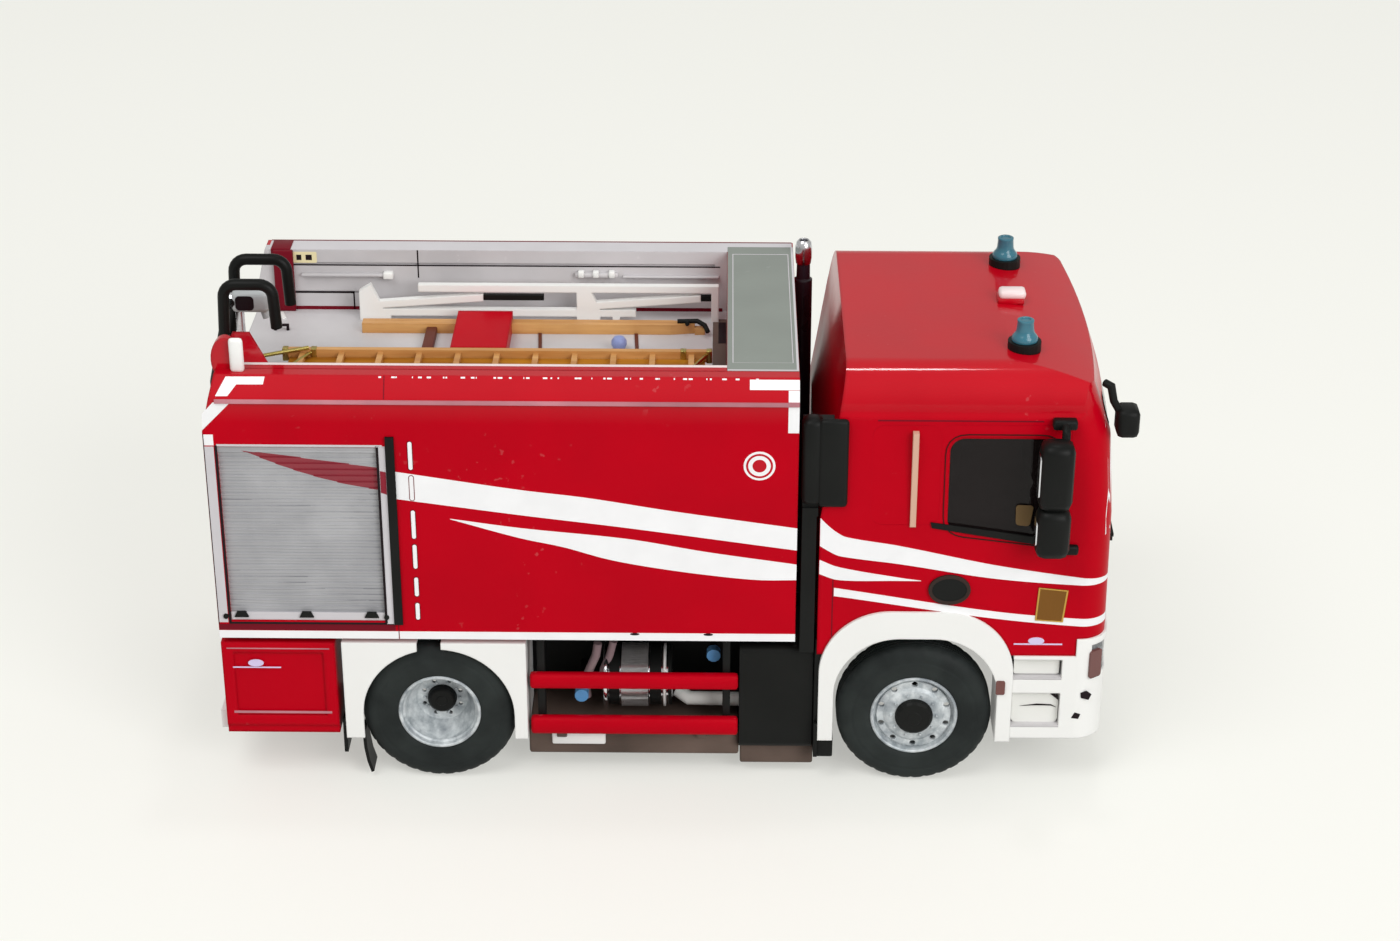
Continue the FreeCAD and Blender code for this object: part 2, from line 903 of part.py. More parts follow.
def axle_carriers(centre_x):
    pieces = []
    for side in (-1, 1):
        low = min(side * carrier_inner, side * carrier_outer)
        carrier = block(centre_x - carrier_half_length, centre_x + carrier_half_length,
                        low, low + carrier_outer - carrier_inner, carrier_bottom, rail_top)
        pieces.append(carrier)
    return pieces


def rod_bore(centre_x):
    start = Vec(centre_x, -carrier_outer - cut_over, tyre_radius)
    return Part.makeCylinder(rod_radius + rod_clearance, 2 * (carrier_outer + cut_over),
                             start, Vec(0, 1, 0))


def drive_line():
    case = Part.makeCylinder(drive_case_radius, 2 * drive_case_half,
                             Vec(rear_axle, -drive_case_half, tyre_radius), Vec(0, 1, 0))
    case_bridge = block(rear_axle - drive_case_half, rear_axle + drive_case_half,
                        -rail_inner, rail_inner, rail_bottom, rail_top)
    shaft = beam(Vec(rear_axle + drive_case_half, 0, tyre_radius),
                 Vec(gearbox_rear, 0, tyre_radius), 2 * drive_shaft_half, Vec(0, 1, 0))
    gearbox = block(gearbox_rear, gearbox_front, -gearbox_half_width, gearbox_half_width,
                    gearbox_bottom, rail_top)
    gearbox_bridge = block(gearbox_rear, gearbox_rear + cross_member_width,
                           -rail_inner, rail_inner, rail_bottom, rail_top)
    return [case, case_bridge, shaft, gearbox, gearbox_bridge]


def chassis_frame():
    cab_mount = block(cab_mount_rear, cab_mount_front, -cab_mount_half, cab_mount_half,
                      rail_top - cab_mount_lap, cab_floor_bottom)
    boss = Part.makeCylinder(screw_boss_radius, body_bottom - screw_boss_bottom,
                             Vec(screw_boss_place, 0, screw_boss_bottom))
    boss_bridge = block(screw_boss_place - cross_member_width / 2,
                        screw_boss_place + cross_member_width / 2,
                        -rail_inner, rail_inner, rail_bottom, rail_top)
    frame = fused(rails() + cross_members() + axle_carriers(front_axle)
                  + axle_carriers(rear_axle) + drive_line() + [cab_mount, boss, boss_bridge])
    bore = Part.makeCylinder(screw_bore_radius, body_bottom - screw_boss_bottom + 2 * cut_over,
                             Vec(screw_boss_place, 0, screw_boss_bottom - cut_over))
    return frame.cut(rod_bore(front_axle)).cut(rod_bore(rear_axle)).cut(bore)


def body_subframe():
    plate = block(body_rear + body_wall, body_front - body_wall,
                  -body_half_width + body_wall, body_half_width - body_wall,
                  body_bottom, body_bottom + subframe_thickness)
    length = body_front - body_rear - 2 * body_wall - bearer_length
    bearers = []
    for share in bearer_places_share:
        start = body_rear + body_wall + share * length
        bearers.append(block(start, start + bearer_length, -rail_outer, rail_outer, rail_top,
                             body_bottom + subframe_thickness / 2))
    return fused([plate] + bearers)


def drawbar_coupling():
    jaw = block(coupling_rear, coupling_front, -coupling_half_width, coupling_half_width,
                coupling_bottom, coupling_top)
    middle = (coupling_bottom + coupling_top) / 2
    mouth = block(coupling_rear - cut_over,
                  coupling_rear + coupling_bore_from_rear + coupling_bore_radius,
                  -coupling_half_width - cut_over, coupling_half_width + cut_over,
                  middle - coupling_mouth / 2, middle + coupling_mouth / 2)
    bore = Part.makeCylinder(coupling_bore_radius, coupling_height + 2 * cut_over,
                             Vec(coupling_rear + coupling_bore_from_rear, 0,
                                 coupling_bottom - cut_over))
    return jaw.cut(mouth).cut(bore)


# Body box

def body_outline(inset):
    half = body_half_width - inset
    top_half = half - body_chamfer_width
    return [(-half, body_bottom), (-half, body_ridge), (-top_half, body_top - inset),
            (top_half, body_top - inset), (half, body_ridge), (half, body_bottom)]


def rear_slope():
    return side_prism([(body_rear - cut_over, rear_slope_start),
                       (body_rear, rear_slope_start),
                       (body_rear + rear_slope_run, body_top + cut_over),
                       (body_rear - cut_over, body_top + cut_over)],
                      -body_half_width - cut_over, body_half_width + cut_over)


def shutter_opening(side):
    low = min(side * (body_half_width - body_wall - cut_over),
              side * (body_half_width + cut_over))
    return block(shutter_rear, shutter_front, low, low + body_wall + 2 * cut_over,
                 shutter_bottom, shutter_top)


def tail_opening():
    return block(body_rear - cut_over, body_rear + body_wall + cut_over,
                 tail_shutter_right, tail_shutter_left, shutter_bottom, deck_bottom)


def body_box():
    shell = end_prism(body_outline(0), body_rear, body_front)
    cavity = block(body_rear + body_wall, body_front - body_wall,
                   -body_half_width + body_wall, body_half_width - body_wall,
                   body_bottom - cut_over, deck_bottom)
    tray_space = block(body_rear - cut_over, tray_front, -tray_outer_half, tray_outer_half,
                       deck_bottom, body_top + cut_over)
    head_space = block(tray_front + body_wall, body_front - body_wall,
                       -tray_outer_half, tray_outer_half,
                       deck_bottom - cut_over, body_top - body_wall)
    lid_space = block(tray_front + locker_lid_rim, body_front - locker_lid_rim,
                      -locker_lid_half, locker_lid_half,
                      body_top - locker_lid_thickness, body_top + cut_over)
    shell = shell.cut(cavity).cut(tray_space).cut(head_space).cut(lid_space)
    shell = shell.cut(rear_slope()).cut(tail_opening())
    shell = shell.cut(shutter_opening(-1)).cut(shutter_opening(1))
    return shell.removeSplitter()


def gutter_rails():
    rail = block(body_rear + rear_slope_run, body_front, -body_half_width - gutter_width,
                 -body_half_width, body_ridge - gutter_height, body_ridge)
    return both_sides(rail)


def tray_groove(rise, front, side):
    low = min(side * (tray_inner_half - cut_over), side * (tray_inner_half + tray_groove_depth))
    return block(body_rear + rear_slope_run + tray_wall, front,
                 low, low + cut_over + tray_groove_depth,
                 deck_top + rise, deck_top + rise + tray_groove_height)


def roof_tray():
    tray = end_prism([(-tray_outer_half, deck_bottom), (-tray_outer_half, body_top),
                      (-tray_inner_half, body_top), (-tray_inner_half, deck_top),
                      (tray_inner_half, deck_top), (tray_inner_half, body_top),
                      (tray_outer_half, body_top), (tray_outer_half, deck_bottom)],
                     body_rear + tray_rear_gap, tray_front)
    for side in (-1, 1):
        tray = tray.cut(tray_groove(tray_upper_groove_rise, tray_front - tray_wall, side))
        tray = tray.cut(tray_groove(tray_lower_groove_rise,
                                    body_rear + tray_lower_groove_length, side))
    return tray.cut(rear_slope())


def locker_lid():
    return block(tray_front + locker_lid_rim, body_front - locker_lid_rim,
                 -locker_lid_half, locker_lid_half,
                 body_top - locker_lid_thickness, body_top)


def corner_header():
    rear = body_rear + rear_slope_run
    front = rear + corner_header_length
    return plan_prism([(rear, -tray_inner_half), (front, -tray_inner_half),
                       (front - corner_header_slant, corner_header_side),
                       (rear, corner_header_side)],
                      deck_top, body_top)


# Shutters

def slat_outline(bottom, top, front, back):
    count = int((top - bottom) / shutter_slat_pitch)
    pitch = (top - bottom) / count
    inset = front + math.copysign(shutter_slat_depth, back - front)
    points = [(back, bottom)]
    for number in range(count):
        start = bottom + number * pitch
        points.append((inset, start))
        points.append((front, start + pitch))
    points.append((back, top))
    return points


def side_shutter():
    front = -body_half_width + shutter_recess
    back = front + shutter_thickness
    slats_bottom = shutter_bottom + shutter_foot_height
    slats_top = shutter_top - shutter_head_height
    slats = end_prism(slat_outline(slats_bottom, slats_top, front, back),
                      shutter_rear, shutter_front)
    stand = shutter_slat_depth
    foot = block(shutter_rear, shutter_front, front - stand, back, shutter_bottom, slats_bottom)
    head = block(shutter_rear, shutter_front, front - stand, back, slats_top, shutter_top)
    return fused([slats, foot, head])


def side_shutters():
    return both_sides(side_shutter())


def tail_shutter():
    front = body_rear + shutter_recess
    back = front + shutter_thickness
    top = deck_bottom - tail_shutter_clearance
    slats_bottom = shutter_bottom + shutter_foot_height
    slats_top = top - shutter_head_height
    slats = side_prism(slat_outline(slats_bottom, slats_top, front, back),
                       tail_shutter_right, tail_shutter_left)
    stand = shutter_slat_depth
    foot = block(front - stand, back, tail_shutter_right, tail_shutter_left,
                 shutter_bottom, slats_bottom)
    head = block(front - stand, back, tail_shutter_right, tail_shutter_left, slats_top, top)
    return fused([slats, foot, head])


def shutter_posts():
    rear = shutter_front + post_gap
    return both_sides(block(rear, rear + post_width, -body_half_width - post_stand,
                            -body_half_width, shutter_bottom - post_foot,
                            shutter_top + post_head))


# Lower body

def rear_lockers():
    case = block(body_rear, locker_front, -locker_face, -locker_inner,
                 locker_bottom, locker_top)
    saddle = block(body_rear + body_wall, locker_front - body_wall,
                   -body_half_width + 2 * body_wall, -locker_inner, locker_top, body_bottom)
    panel = block(body_rear + locker_panel_margin, locker_front - locker_panel_margin,
                  -locker_face - cut_over, -locker_face + locker_panel_depth,
                  locker_bottom + locker_panel_margin + locker_ledge,
                  locker_top - locker_panel_margin)
    ledge = block(body_rear - cut_over, locker_front + cut_over,
                  -locker_face - cut_over, -locker_face + locker_panel_depth,
                  locker_bottom - cut_over, locker_bottom + locker_ledge)
    return both_sides(fused([case, saddle]).cut(panel).cut(ledge))


def fender_quarter(x_low, x_high):
    plate = block(x_low, x_high, -fender_face, -fender_inner, fender_bottom, fender_top)
    well = Part.makeCylinder(fender_well_radius, fender_lip_back - fender_inner + cut_over,
                             Vec(rear_axle, -fender_lip_back, tyre_radius), Vec(0, 1, 0))
    lip_cut = Part.makeCylinder(fender_lip_radius, fender_face - fender_lip_back + 2 * cut_over,
                                Vec(rear_axle, -fender_face - cut_over, tyre_radius),
                                Vec(0, 1, 0))
    drop = block(rear_axle - fender_well_radius, rear_axle + fender_well_radius,
                 -fender_lip_back, -fender_inner + cut_over,
                 fender_bottom - cut_over, tyre_radius)
    lip_drop = block(rear_axle - fender_lip_radius, rear_axle + fender_lip_radius,
                     -fender_face - cut_over, -fender_lip_back,
                     fender_bottom - cut_over, tyre_radius)
    return plate.cut(well).cut(lip_cut).cut(drop).cut(lip_drop)


def fender_hanger(x_low, x_high):
    return block(x_low, x_high, -body_half_width + 2 * body_wall, -fender_inner,
                 fender_top, body_bottom)


def rear_fenders():
    rear_gap = rear_axle - fender_gap_behind
    front_gap = rear_axle + fender_gap_ahead
    rear = fused([fender_quarter(fender_rear, rear_gap),
                  fender_hanger(fender_rear + body_wall, rear_gap - body_wall)])
    front = fused([fender_quarter(front_gap, fender_front),
                   fender_hanger(front_gap + body_wall, fender_front - body_wall)])
    return both_sides(Part.makeCompound([rear, front]))


def mudflaps():
    rear = block(fender_rear - flap_thickness, fender_rear, -rear_tyre_face,
                 -rear_tyre_face + flap_width, flap_bottom, flap_bottom + flap_height)
    front = block(arch_rear - flap_thickness, arch_rear, -arch_face, -arch_inner,
                  flap_bottom, flap_bottom + flap_height)
    return both_sides(Part.makeCompound([rear, front]))


def side_guards():
    upper = block(guard_rear, guard_front, -guard_face, -guard_back,
                  guard_upper_bottom, guard_upper_bottom + guard_upper_height)
    lower = block(guard_rear, guard_front, -guard_face, -guard_back,
                  guard_lower_bottom, guard_lower_bottom + guard_lower_height)
    pieces = [upper, lower]
    for place in (guard_rear + guard_post_inset,
                  guard_front - guard_post_inset - guard_post_width):
        pieces.append(block(place, place + guard_post_width, -guard_back,
                            -guard_back + guard_thickness, guard_lower_bottom, body_bottom))
    return both_sides(fused(pieces))


def chassis_boxes():
    case = block(box_rear, box_front, -box_face, -rail_outer, box_bottom, box_top)
    case = softened(case, Vec(1, 0, 0), box_corner, lambda p: p.y < -box_face + box_corner)
    return both_sides(case)


def exhaust_drum():
    length = bay_length * (drum_ends_share[1] - drum_ends_share[0])
    rear = fender_front + bay_length * drum_ends_share[0]
    band_rear = length * drum_band_share[0]
    band_front = length * drum_band_share[1]
    profile = [(0, drum_radius), (drum_flange_width, drum_radius),
               (drum_flange_width, drum_waist_radius), (band_rear, drum_waist_radius),
               (band_rear, drum_radius), (band_front, drum_radius),
               (band_front, drum_waist_radius), (length - drum_flange_width, drum_waist_radius),
               (length, drum_waist_radius - drum_flange_width)]
    drum = turned_with_flats(profile, drum_sides,
                             Vec(rear, -drum_centre_side, drum_centre_height),
                             Vec(1, 0, 0), Vec(0, 1, 0))
    bracket = block(rear + band_rear, rear + band_front, -drum_centre_side, -rail_outer,
                    rail_bottom, rail_top)
    return fused([drum, bracket])


def side_pipe():
    rear = fender_front + bay_length * pipe_rear_share
    pipe = rod_between(Vec(rear, -drum_centre_side, pipe_height),
                       Vec(box_rear, -drum_centre_side, pipe_height), pipe_radius)
    bracket = block(rear, rear + 2 * pipe_radius, -drum_centre_side, -rail_outer,
                    rail_bottom, rail_bottom + pipe_radius)
    link = block(rear, rear + 2 * pipe_radius, -drum_centre_side - pipe_radius,
                 -drum_centre_side + pipe_radius, pipe_height, rail_bottom + pipe_radius)
    return fused([pipe, bracket, link])


def cap_on(place, height):
    start = Vec(place, -drum_centre_side - cap_boss_length, height)
    return turned_with_flats([(0, cap_radius), (cap_length, cap_radius)], cap_sides,
                             start, Vec(0, -1, 0), Vec(1, 0, 0))


def cap_stem(place, height):
    half = cap_radius / 2
    return block(place - half, place + half, -drum_centre_side - cap_boss_length, -rail_inner,
                 height - half, height + half)


def drain_caps():
    return Part.makeCompound([cap_on(cap_upper_place, cap_upper_height),
                              cap_on(cap_lower_place, cap_lower_height)])


def drain_stems():
    upper = fused([cap_stem(cap_upper_place, cap_upper_height),
                   block(cap_upper_place - cap_radius, cap_upper_place + cap_radius,
                         -rail_outer, -rail_inner, rail_top, cap_upper_height + cap_radius)])
    lower = fused([cap_stem(cap_lower_place, cap_lower_height),
                   block(cap_lower_place - cap_radius, cap_lower_place + cap_radius,
                         -rail_outer, -rail_inner, cap_lower_height - cap_radius,
                         rail_bottom)])
    return Part.makeCompound([upper, lower])


def air_tank():
    length = bay_length * (air_tank_ends_share[1] - air_tank_ends_share[0])
    rear = fender_front + bay_length * air_tank_ends_share[0]
    end_radius = air_tank_radius - air_tank_end
    tank = turned_with_flats([(0, end_radius), (air_tank_end, air_tank_radius),
                              (length - air_tank_end, air_tank_radius), (length, end_radius)],
                             air_tank_sides, Vec(rear, air_tank_side, air_tank_height),
                             Vec(1, 0, 0), Vec(0, 1, 0))
    bracket = block(rear + 2 * air_tank_end, rear + length - 2 * air_tank_end,
                    rail_outer, air_tank_side, rail_bottom, rail_bottom + air_tank_end)
    return fused([tank, bracket])


# Cab

def cab_section(height, rear, front, half, corner):
    side_front = front - corner
    front_half = half - corner
    arc_share = math.sin(math.pi / 4)
    bend = corner * arc_share

    def at(x, y):
        return Vec(x, y, height)

    bulge = at(front + cab_front_bulge, 0)
    edges = [
        Part.makeLine(at(rear, half), at(rear, -half)),
        Part.makeLine(at(rear, -half), at(side_front, -half)),
        Part.Arc(at(side_front, -half), at(side_front + bend, -front_half - bend),
                 at(front, -front_half)).toShape(),
        Part.Arc(at(front, -front_half), bulge, at(front, front_half)).toShape(),
        Part.Arc(at(front, front_half), at(side_front + bend, front_half + bend),
                 at(side_front, half)).toShape(),
        Part.makeLine(at(side_front, half), at(rear, half)),
    ]
    return Part.Wire(edges)


def cab_half(height, front, half, corner, rear, side):
    flat = half - corner
    bulge_radius = (flat ** 2 + cab_front_bulge ** 2) / (2 * cab_front_bulge)
    bulge_centre = front + cab_front_bulge - bulge_radius
    bend = corner * (1 - math.sin(math.pi / 4))

    def at(x, y):
        return Vec(x, side * y, height)

    def on_front(y):
        return at(bulge_centre + math.sqrt(bulge_radius ** 2 - y ** 2), y)

    edges = [
        Part.makeLine(at(rear, -cab_seam_lap), at(rear, half)),
        Part.makeLine(at(rear, half), at(front - corner, half)),
        Part.Arc(at(front - corner, half), at(front - bend, half - bend),
                 at(front, flat)).toShape(),
        Part.Arc(on_front(flat), on_front(flat / 2), on_front(-cab_seam_lap)).toShape(),
        Part.makeLine(on_front(-cab_seam_lap), at(rear, -cab_seam_lap)),
    ]
    return Part.Face(Part.Wire(edges))


def cab_tiers(inset):
    levels = [
        (cab_bottom - cut_over, 0, 0),
        (cab_sill, cab_front_sill_set, 0),
        (cab_brow, cab_front_brow_set, cab_brow_width_set),
        (cab_loft_top, cab_front_top_set, cab_top_width_set),
    ]
    tiers = []
    for low, high in zip(levels, levels[1:]):
        for side in (-1, 1):
            outline = cab_half(low[0], cab_front - low[1] - inset,
                               cab_half_width - low[2] - inset, cab_corner - inset,
                               cab_rear + inset, side)
            tiers.append(outline.extrude(Vec(low[1] - high[1], side * (low[2] - high[2]),
                                             high[0] - low[0])))
    return fused(tiers)


def cab_side_trim(inset):
    roof = cab_roof - inset
    nose = cab_front - inset
    ahead = nose + 2 * cab_front_bulge
    wide = cab_half_width + cut_over
    rear = cab_rear + inset
    lean = cab_rear_lean * (roof - cab_sill) / (cab_loft_top - cab_sill)

    def at(x, z):
        return Vec(x, -wide, z)

    edges = [
        Part.makeLine(at(rear, cab_bottom), at(rear, cab_sill)),
        Part.makeLine(at(rear, cab_sill), at(rear + lean, roof)),
        Part.makeLine(at(rear + lean, roof), at(cab_roof_break, roof)),
        Part.Arc(at(cab_roof_break, roof), at(cab_roof_nose_mid, roof - cab_roof_nose_mid_drop),
                 at(nose, roof - cab_roof_nose_drop)).toShape(),
        Part.makeLine(at(nose, roof - cab_roof_nose_drop),
                      at(ahead, roof - cab_roof_nose_drop)),
        Part.makeLine(at(ahead, roof - cab_roof_nose_drop), at(ahead, cab_bottom)),
        Part.makeLine(at(ahead, cab_bottom), at(rear, cab_bottom)),
    ]
    return Part.Face(Part.Wire(edges)).extrude(Vec(0, 2 * wide, 0))


def cab_end_trim(inset):
    roof = cab_roof - inset
    wide = cab_half_width + cut_over
    half = cab_half_width - cab_top_width_set - inset
    corner = cab_roof_corner - inset
    start = cab_rear - cut_over
    bend = corner * math.sin(math.pi / 4)

    def at(y, z):
        return Vec(start, y, z)

    edges = [
        Part.makeLine(at(-wide, cab_bottom - cut_over), at(-wide, cab_brow)),
        Part.makeLine(at(-wide, cab_brow), at(-half, roof - corner)),
        Part.Arc(at(-half, roof - corner), at(-half + corner - bend, roof - corner + bend),
                 at(-half + corner, roof)).toShape(),
        Part.makeLine(at(-half + corner, roof), at(half - corner, roof)),
        Part.Arc(at(half - corner, roof), at(half - corner + bend, roof - corner + bend),
                 at(half, roof - corner)).toShape(),
        Part.makeLine(at(half, roof - corner), at(wide, cab_brow)),
        Part.makeLine(at(wide, cab_brow), at(wide, cab_bottom - cut_over)),
        Part.makeLine(at(wide, cab_bottom - cut_over), at(-wide, cab_bottom - cut_over)),
    ]
    length = cab_front - cab_rear + cab_front_bulge + 2 * cut_over
    return Part.Face(Part.Wire(edges)).extrude(Vec(length, 0, 0))


def cab_block(inset):
    return cab_tiers(inset).common(cab_side_trim(inset)).common(cab_end_trim(inset))


def side_window_cut():
    wide = cab_half_width + cut_over
    window = side_prism([(side_window_rear, side_window_rear_sill),
                         (side_window_front, side_window_front_sill),
                         (side_window_front, side_window_top),
                         (side_window_rear, side_window_top)],
                        -wide, -wide + 2 * cut_over + 2 * cab_wall + cab_top_width_set)
    window = softened(window, Vec(0, 1, 0), side_window_corner)
    return Part.makeCompound([window, left_of(window)])


def windscreen_cut():
    screen = block(cab_front - windscreen_back, cab_front + 2 * cab_front_bulge,
                   -windscreen_half, windscreen_half, windscreen_bottom, windscreen_top)
    return softened(screen, Vec(1, 0, 0), windscreen_corner)


def grille_cut():
    return block(cab_front - windscreen_back, cab_front + 2 * cab_front_bulge,
                 -grille_half_width, grille_half_width, grille_bottom, grille_top)


def arch_outline(half, top, corner, bottom, y_low, y_high):
    arch = block(front_axle - half, front_axle + half, y_low, y_high, bottom, top)
    return softened(arch, Vec(0, 1, 0), corner, lambda p: p.z > top - corner)


def arch_space():
    arch = arch_outline(arch_half_length, arch_top, arch_corner, arch_bottom,
                        -arch_face - cut_over, -arch_inner)
    return Part.makeCompound([arch, left_of(arch)])


def corner_rise_space():
    return block(bumper_corner_place, cab_front + 2 * cab_front_bulge,
                 -cab_half_width - cut_over, cab_half_width + cut_over,
                 cab_bottom - cut_over, bumper_corner_rise)


def glass_layer():
    return cab_block(glass_recess).cut(cab_block(glass_recess + glass_thickness))


def cab_shell():
    shell = cab_block(0).cut(cab_block(cab_wall))
    floor_space = block(cab_rear + cab_wall, cab_front - cab_wall - cab_corner,
                        -cab_half_width + cab_wall, cab_half_width - cab_wall,
                        cab_bottom - cut_over, cab_bottom + cut_over)
    shell = shell.cut(floor_space)
    shell = shell.cut(side_window_cut()).cut(windscreen_cut()).cut(grille_cut())
    return shell.cut(arch_space()).cut(corner_rise_space())


def side_windows():
    return glass_layer().common(side_window_cut())


def windscreen():
    return glass_layer().common(windscreen_cut())


def grille():
    panel = cab_block(glass_recess).cut(cab_block(cab_wall)).common(grille_cut())
    pitch = (grille_top - grille_bottom) / grille_slot_count
    for number in range(grille_slot_count):
        low = grille_bottom + pitch * number + (pitch - grille_slot_height) / 2
        layer = cab_block(0).cut(cab_block(glass_recess + grille_slot_depth))
        slot = block(cab_front - windscreen_back, cab_front + 2 * cab_front_bulge,
                     -grille_half_width + grille_slot_height,
                     grille_half_width - grille_slot_height, low, low + grille_slot_height)
        panel = panel.cut(layer.common(slot))
    return panel


def cab_floor():
    inside = cab_block(cab_wall + cab_floor_clearance)
    return inside.common(block(cab_rear, cab_front, -cab_half_width, cab_half_width,
                               cab_floor_bottom, cab_floor_top))


def seat(place, side_low, side_high):
    floor = cab_floor_top
    base = block(place + seat_back_thickness, place + seat_cushion_length,
                 side_low + seat_back_thickness / 2, side_high - seat_back_thickness / 2,
                 floor, floor + seat_base_height)
    cushion = block(place, place + seat_cushion_length, side_low, side_high,
                    floor + seat_base_height, floor + seat_base_height + seat_cushion_height)
    low = floor + seat_base_height
    bevel = seat_back_thickness
    back = end_prism([(side_low, low), (side_low, low + seat_height - bevel),
                      (side_low + bevel, low + seat_height),
                      (side_high - bevel, low + seat_height),
                      (side_high, low + seat_height - bevel), (side_high, low)],
                     place, place + seat_back_thickness)
    return fused([base, cushion, back])


def cab_seats():
    half = seat_width / 2
    driver = seat(seat_place, seat_side - half, seat_side + half)
    crew = seat(seat_place, -seat_side - half, -seat_side + half)
    bench = seat(bench_place, -bench_half_width, bench_half_width)
    return Part.makeCompound([driver, crew, bench])


def dashboard():
    inside = cab_block(cab_wall + cab_floor_clearance)
    return inside.common(block(cab_front - cab_wall - dash_depth, cab_front + cab_front_bulge,
                               -dash_half_width, dash_half_width,
                               cab_floor_top, cab_floor_top + dash_height))


def steering_wheel():
    dash_back = cab_front - cab_wall - dash_depth
    top = cab_floor_top + dash_height
    tilt = math.radians(steering_tilt_degrees)
    axis = Vec(-math.sin(tilt), 0, math.cos(tilt))
    across = Vec(0, 1, 0)
    fore = axis.cross(across)
    root = Vec(dash_back + wheel_rim_radius / 2, seat_side, top)
    centre = root + axis * steering_column_length
    thick = axis * wheel_rim_width
    outer = ring_corners(centre, wheel_rim_radius, wheel_rim_sides, across, fore)
    inner = ring_corners(centre, wheel_rim_radius - wheel_rim_width, wheel_rim_sides,
                         across, fore)
    rim = polygon_face(outer).cut(polygon_face(inner)).extrude(thick)
    middle = centre + thick / 2
    reach = wheel_rim_radius - wheel_rim_width / 2
    spokes = beam(middle - across * reach, middle + across * reach, wheel_rim_width, fore)
    lower_spoke = beam(middle, middle + fore * reach, wheel_rim_width, across)
    column = beam(root, middle, steering_column_width, across)
    column = column.cut(block(dash_back, cab_front, -cab_half_width, cab_half_width,
                              cab_floor_bottom, top))
    return fused([rim, spokes, lower_spoke, column])


# Front of the cab

def bumper_plan(grow, low, high):
    corner = cab_corner + grow
    wire = cab_section(low, cab_rear, cab_front + grow, cab_half_width + grow, corner)
    return Part.Face(wire).extrude(Vec(0, 0, high - low))


def bumper_solid(grow):
    outer = bumper_plan(grow, bumper_bottom, bumper_corner_rise)
    keep_low = block(arch_front, cab_front + cut_over * 4, -cab_half_width - cut_over,
                     cab_half_width + cut_over, bumper_bottom, cab_bottom)
    keep_high = block(bumper_corner_place, cab_front + cut_over * 4,
                      -cab_half_width - cut_over, cab_half_width + cut_over,
                      cab_bottom, bumper_corner_rise)
    inner_half = cab_half_width - bumper_side_depth
    inner = block(arch_front - cut_over, cab_front - bumper_beam, -inner_half, inner_half,
                  bumper_bottom - cut_over, bumper_corner_rise + cut_over)
    return outer.common(keep_low.fuse(keep_high)).cut(inner)


def headlamp_cut():
    cut = block(lamp_back, cab_front + cut_over * 4, -cab_half_width - cut_over, -lamp_inner,
                lamp_bottom, lamp_top)
    return Part.makeCompound([cut, left_of(cut)])


def step_recess(low, high):
    outer = cab_half_width + bumper_stand + cut_over
    inner = cab_half_width + bumper_stand - step_depth
    recess = block(step_rear, step_front, -outer, -inner, low, high)
    return Part.makeCompound([recess, left_of(recess)])


def front_bumper():
    bumper = bumper_solid(bumper_stand).cut(headlamp_cut())
    bumper = bumper.cut(step_recess(step_upper_tread, step_upper_ceiling))
    bumper = bumper.cut(step_recess(step_lower_tread, step_lower_ceiling))
    slot = block(cab_front + cab_front_bulge - intake_slot_depth,
                 cab_front + cut_over * 4, -intake_slot_half, intake_slot_half,
                 intake_slot_bottom, intake_slot_top)
    return bumper.cut(slot).removeSplitter()


def headlamps():
    return bumper_solid(bumper_stand - lamp_recess).common(headlamp_cut())


def step_treads():
    outer = cab_half_width + bumper_stand
    inner = outer - step_depth
    treads = []
    for height in (step_upper_tread, step_lower_tread):
        treads.append(block(step_rear, step_front, -outer, -inner,
                            height, height + tread_thickness))
    return both_sides(Part.makeCompound(treads))


def front_fenders():
    arch = arch_outline(arch_half_length, arch_top, arch_corner, arch_bottom,
                        -arch_face, -arch_inner)
    well = arch_outline(arch_well_half, arch_well_top, arch_well_corner,
                        arch_bottom - cut_over, -arch_face - cut_over, -arch_inner + cut_over)
    return both_sides(arch.cut(well))


def wipers():
    front = cab_front + cab_front_bulge
    pieces = []
    for side in (-wiper_side, -wiper_side + wiper_length + wiper_lap):
        foot = block(cab_front - cab_front_sill_set, front, side - wiper_foot_half,
                     side + wiper_foot_half, wiper_foot_height - wiper_foot_half,
                     wiper_foot_height + wiper_foot_half)
        start = Vec(front, side, wiper_foot_height)
        blade = beam(start, start + Vec(0, wiper_length, wiper_end_rise), wiper_width, Vec(1, 0, 0))
        pieces.append(fused([foot, blade]).cut(cab_block(0)))
    return Part.makeCompound(pieces)


# Cab roof

def beacon_dome():
    flare = beacon_flare_height
    profile = [(0, beacon_flare_radius), (flare, beacon_flare_radius),
               (flare + beacon_shoulder_height, beacon_waist_radius),
               (beacon_height - beacon_cap_height, beacon_waist_radius),
               (beacon_height - beacon_cap_height / 2, beacon_cap_radius),
               (beacon_height, beacon_cap_radius)]
    return turned_with_flats(profile, beacon_sides,
                             Vec(beacon_place, -beacon_side, cab_roof + beacon_base_height),
                             Vec(0, 0, 1), Vec(1, 0, 0))


def beacon_bases():
    height = beacon_base_height + cab_roof_nose_mid_drop
    base = turned_with_flats([(0, beacon_base_radius), (height, beacon_base_radius)],
                             beacon_sides, Vec(beacon_place, -beacon_side,
                                               cab_roof - cab_roof_nose_mid_drop),
                             Vec(0, 0, 1), Vec(1, 0, 0))
    return both_sides(base.cut(cab_block(0)))


def beacon_domes():
    return both_sides(beacon_dome())


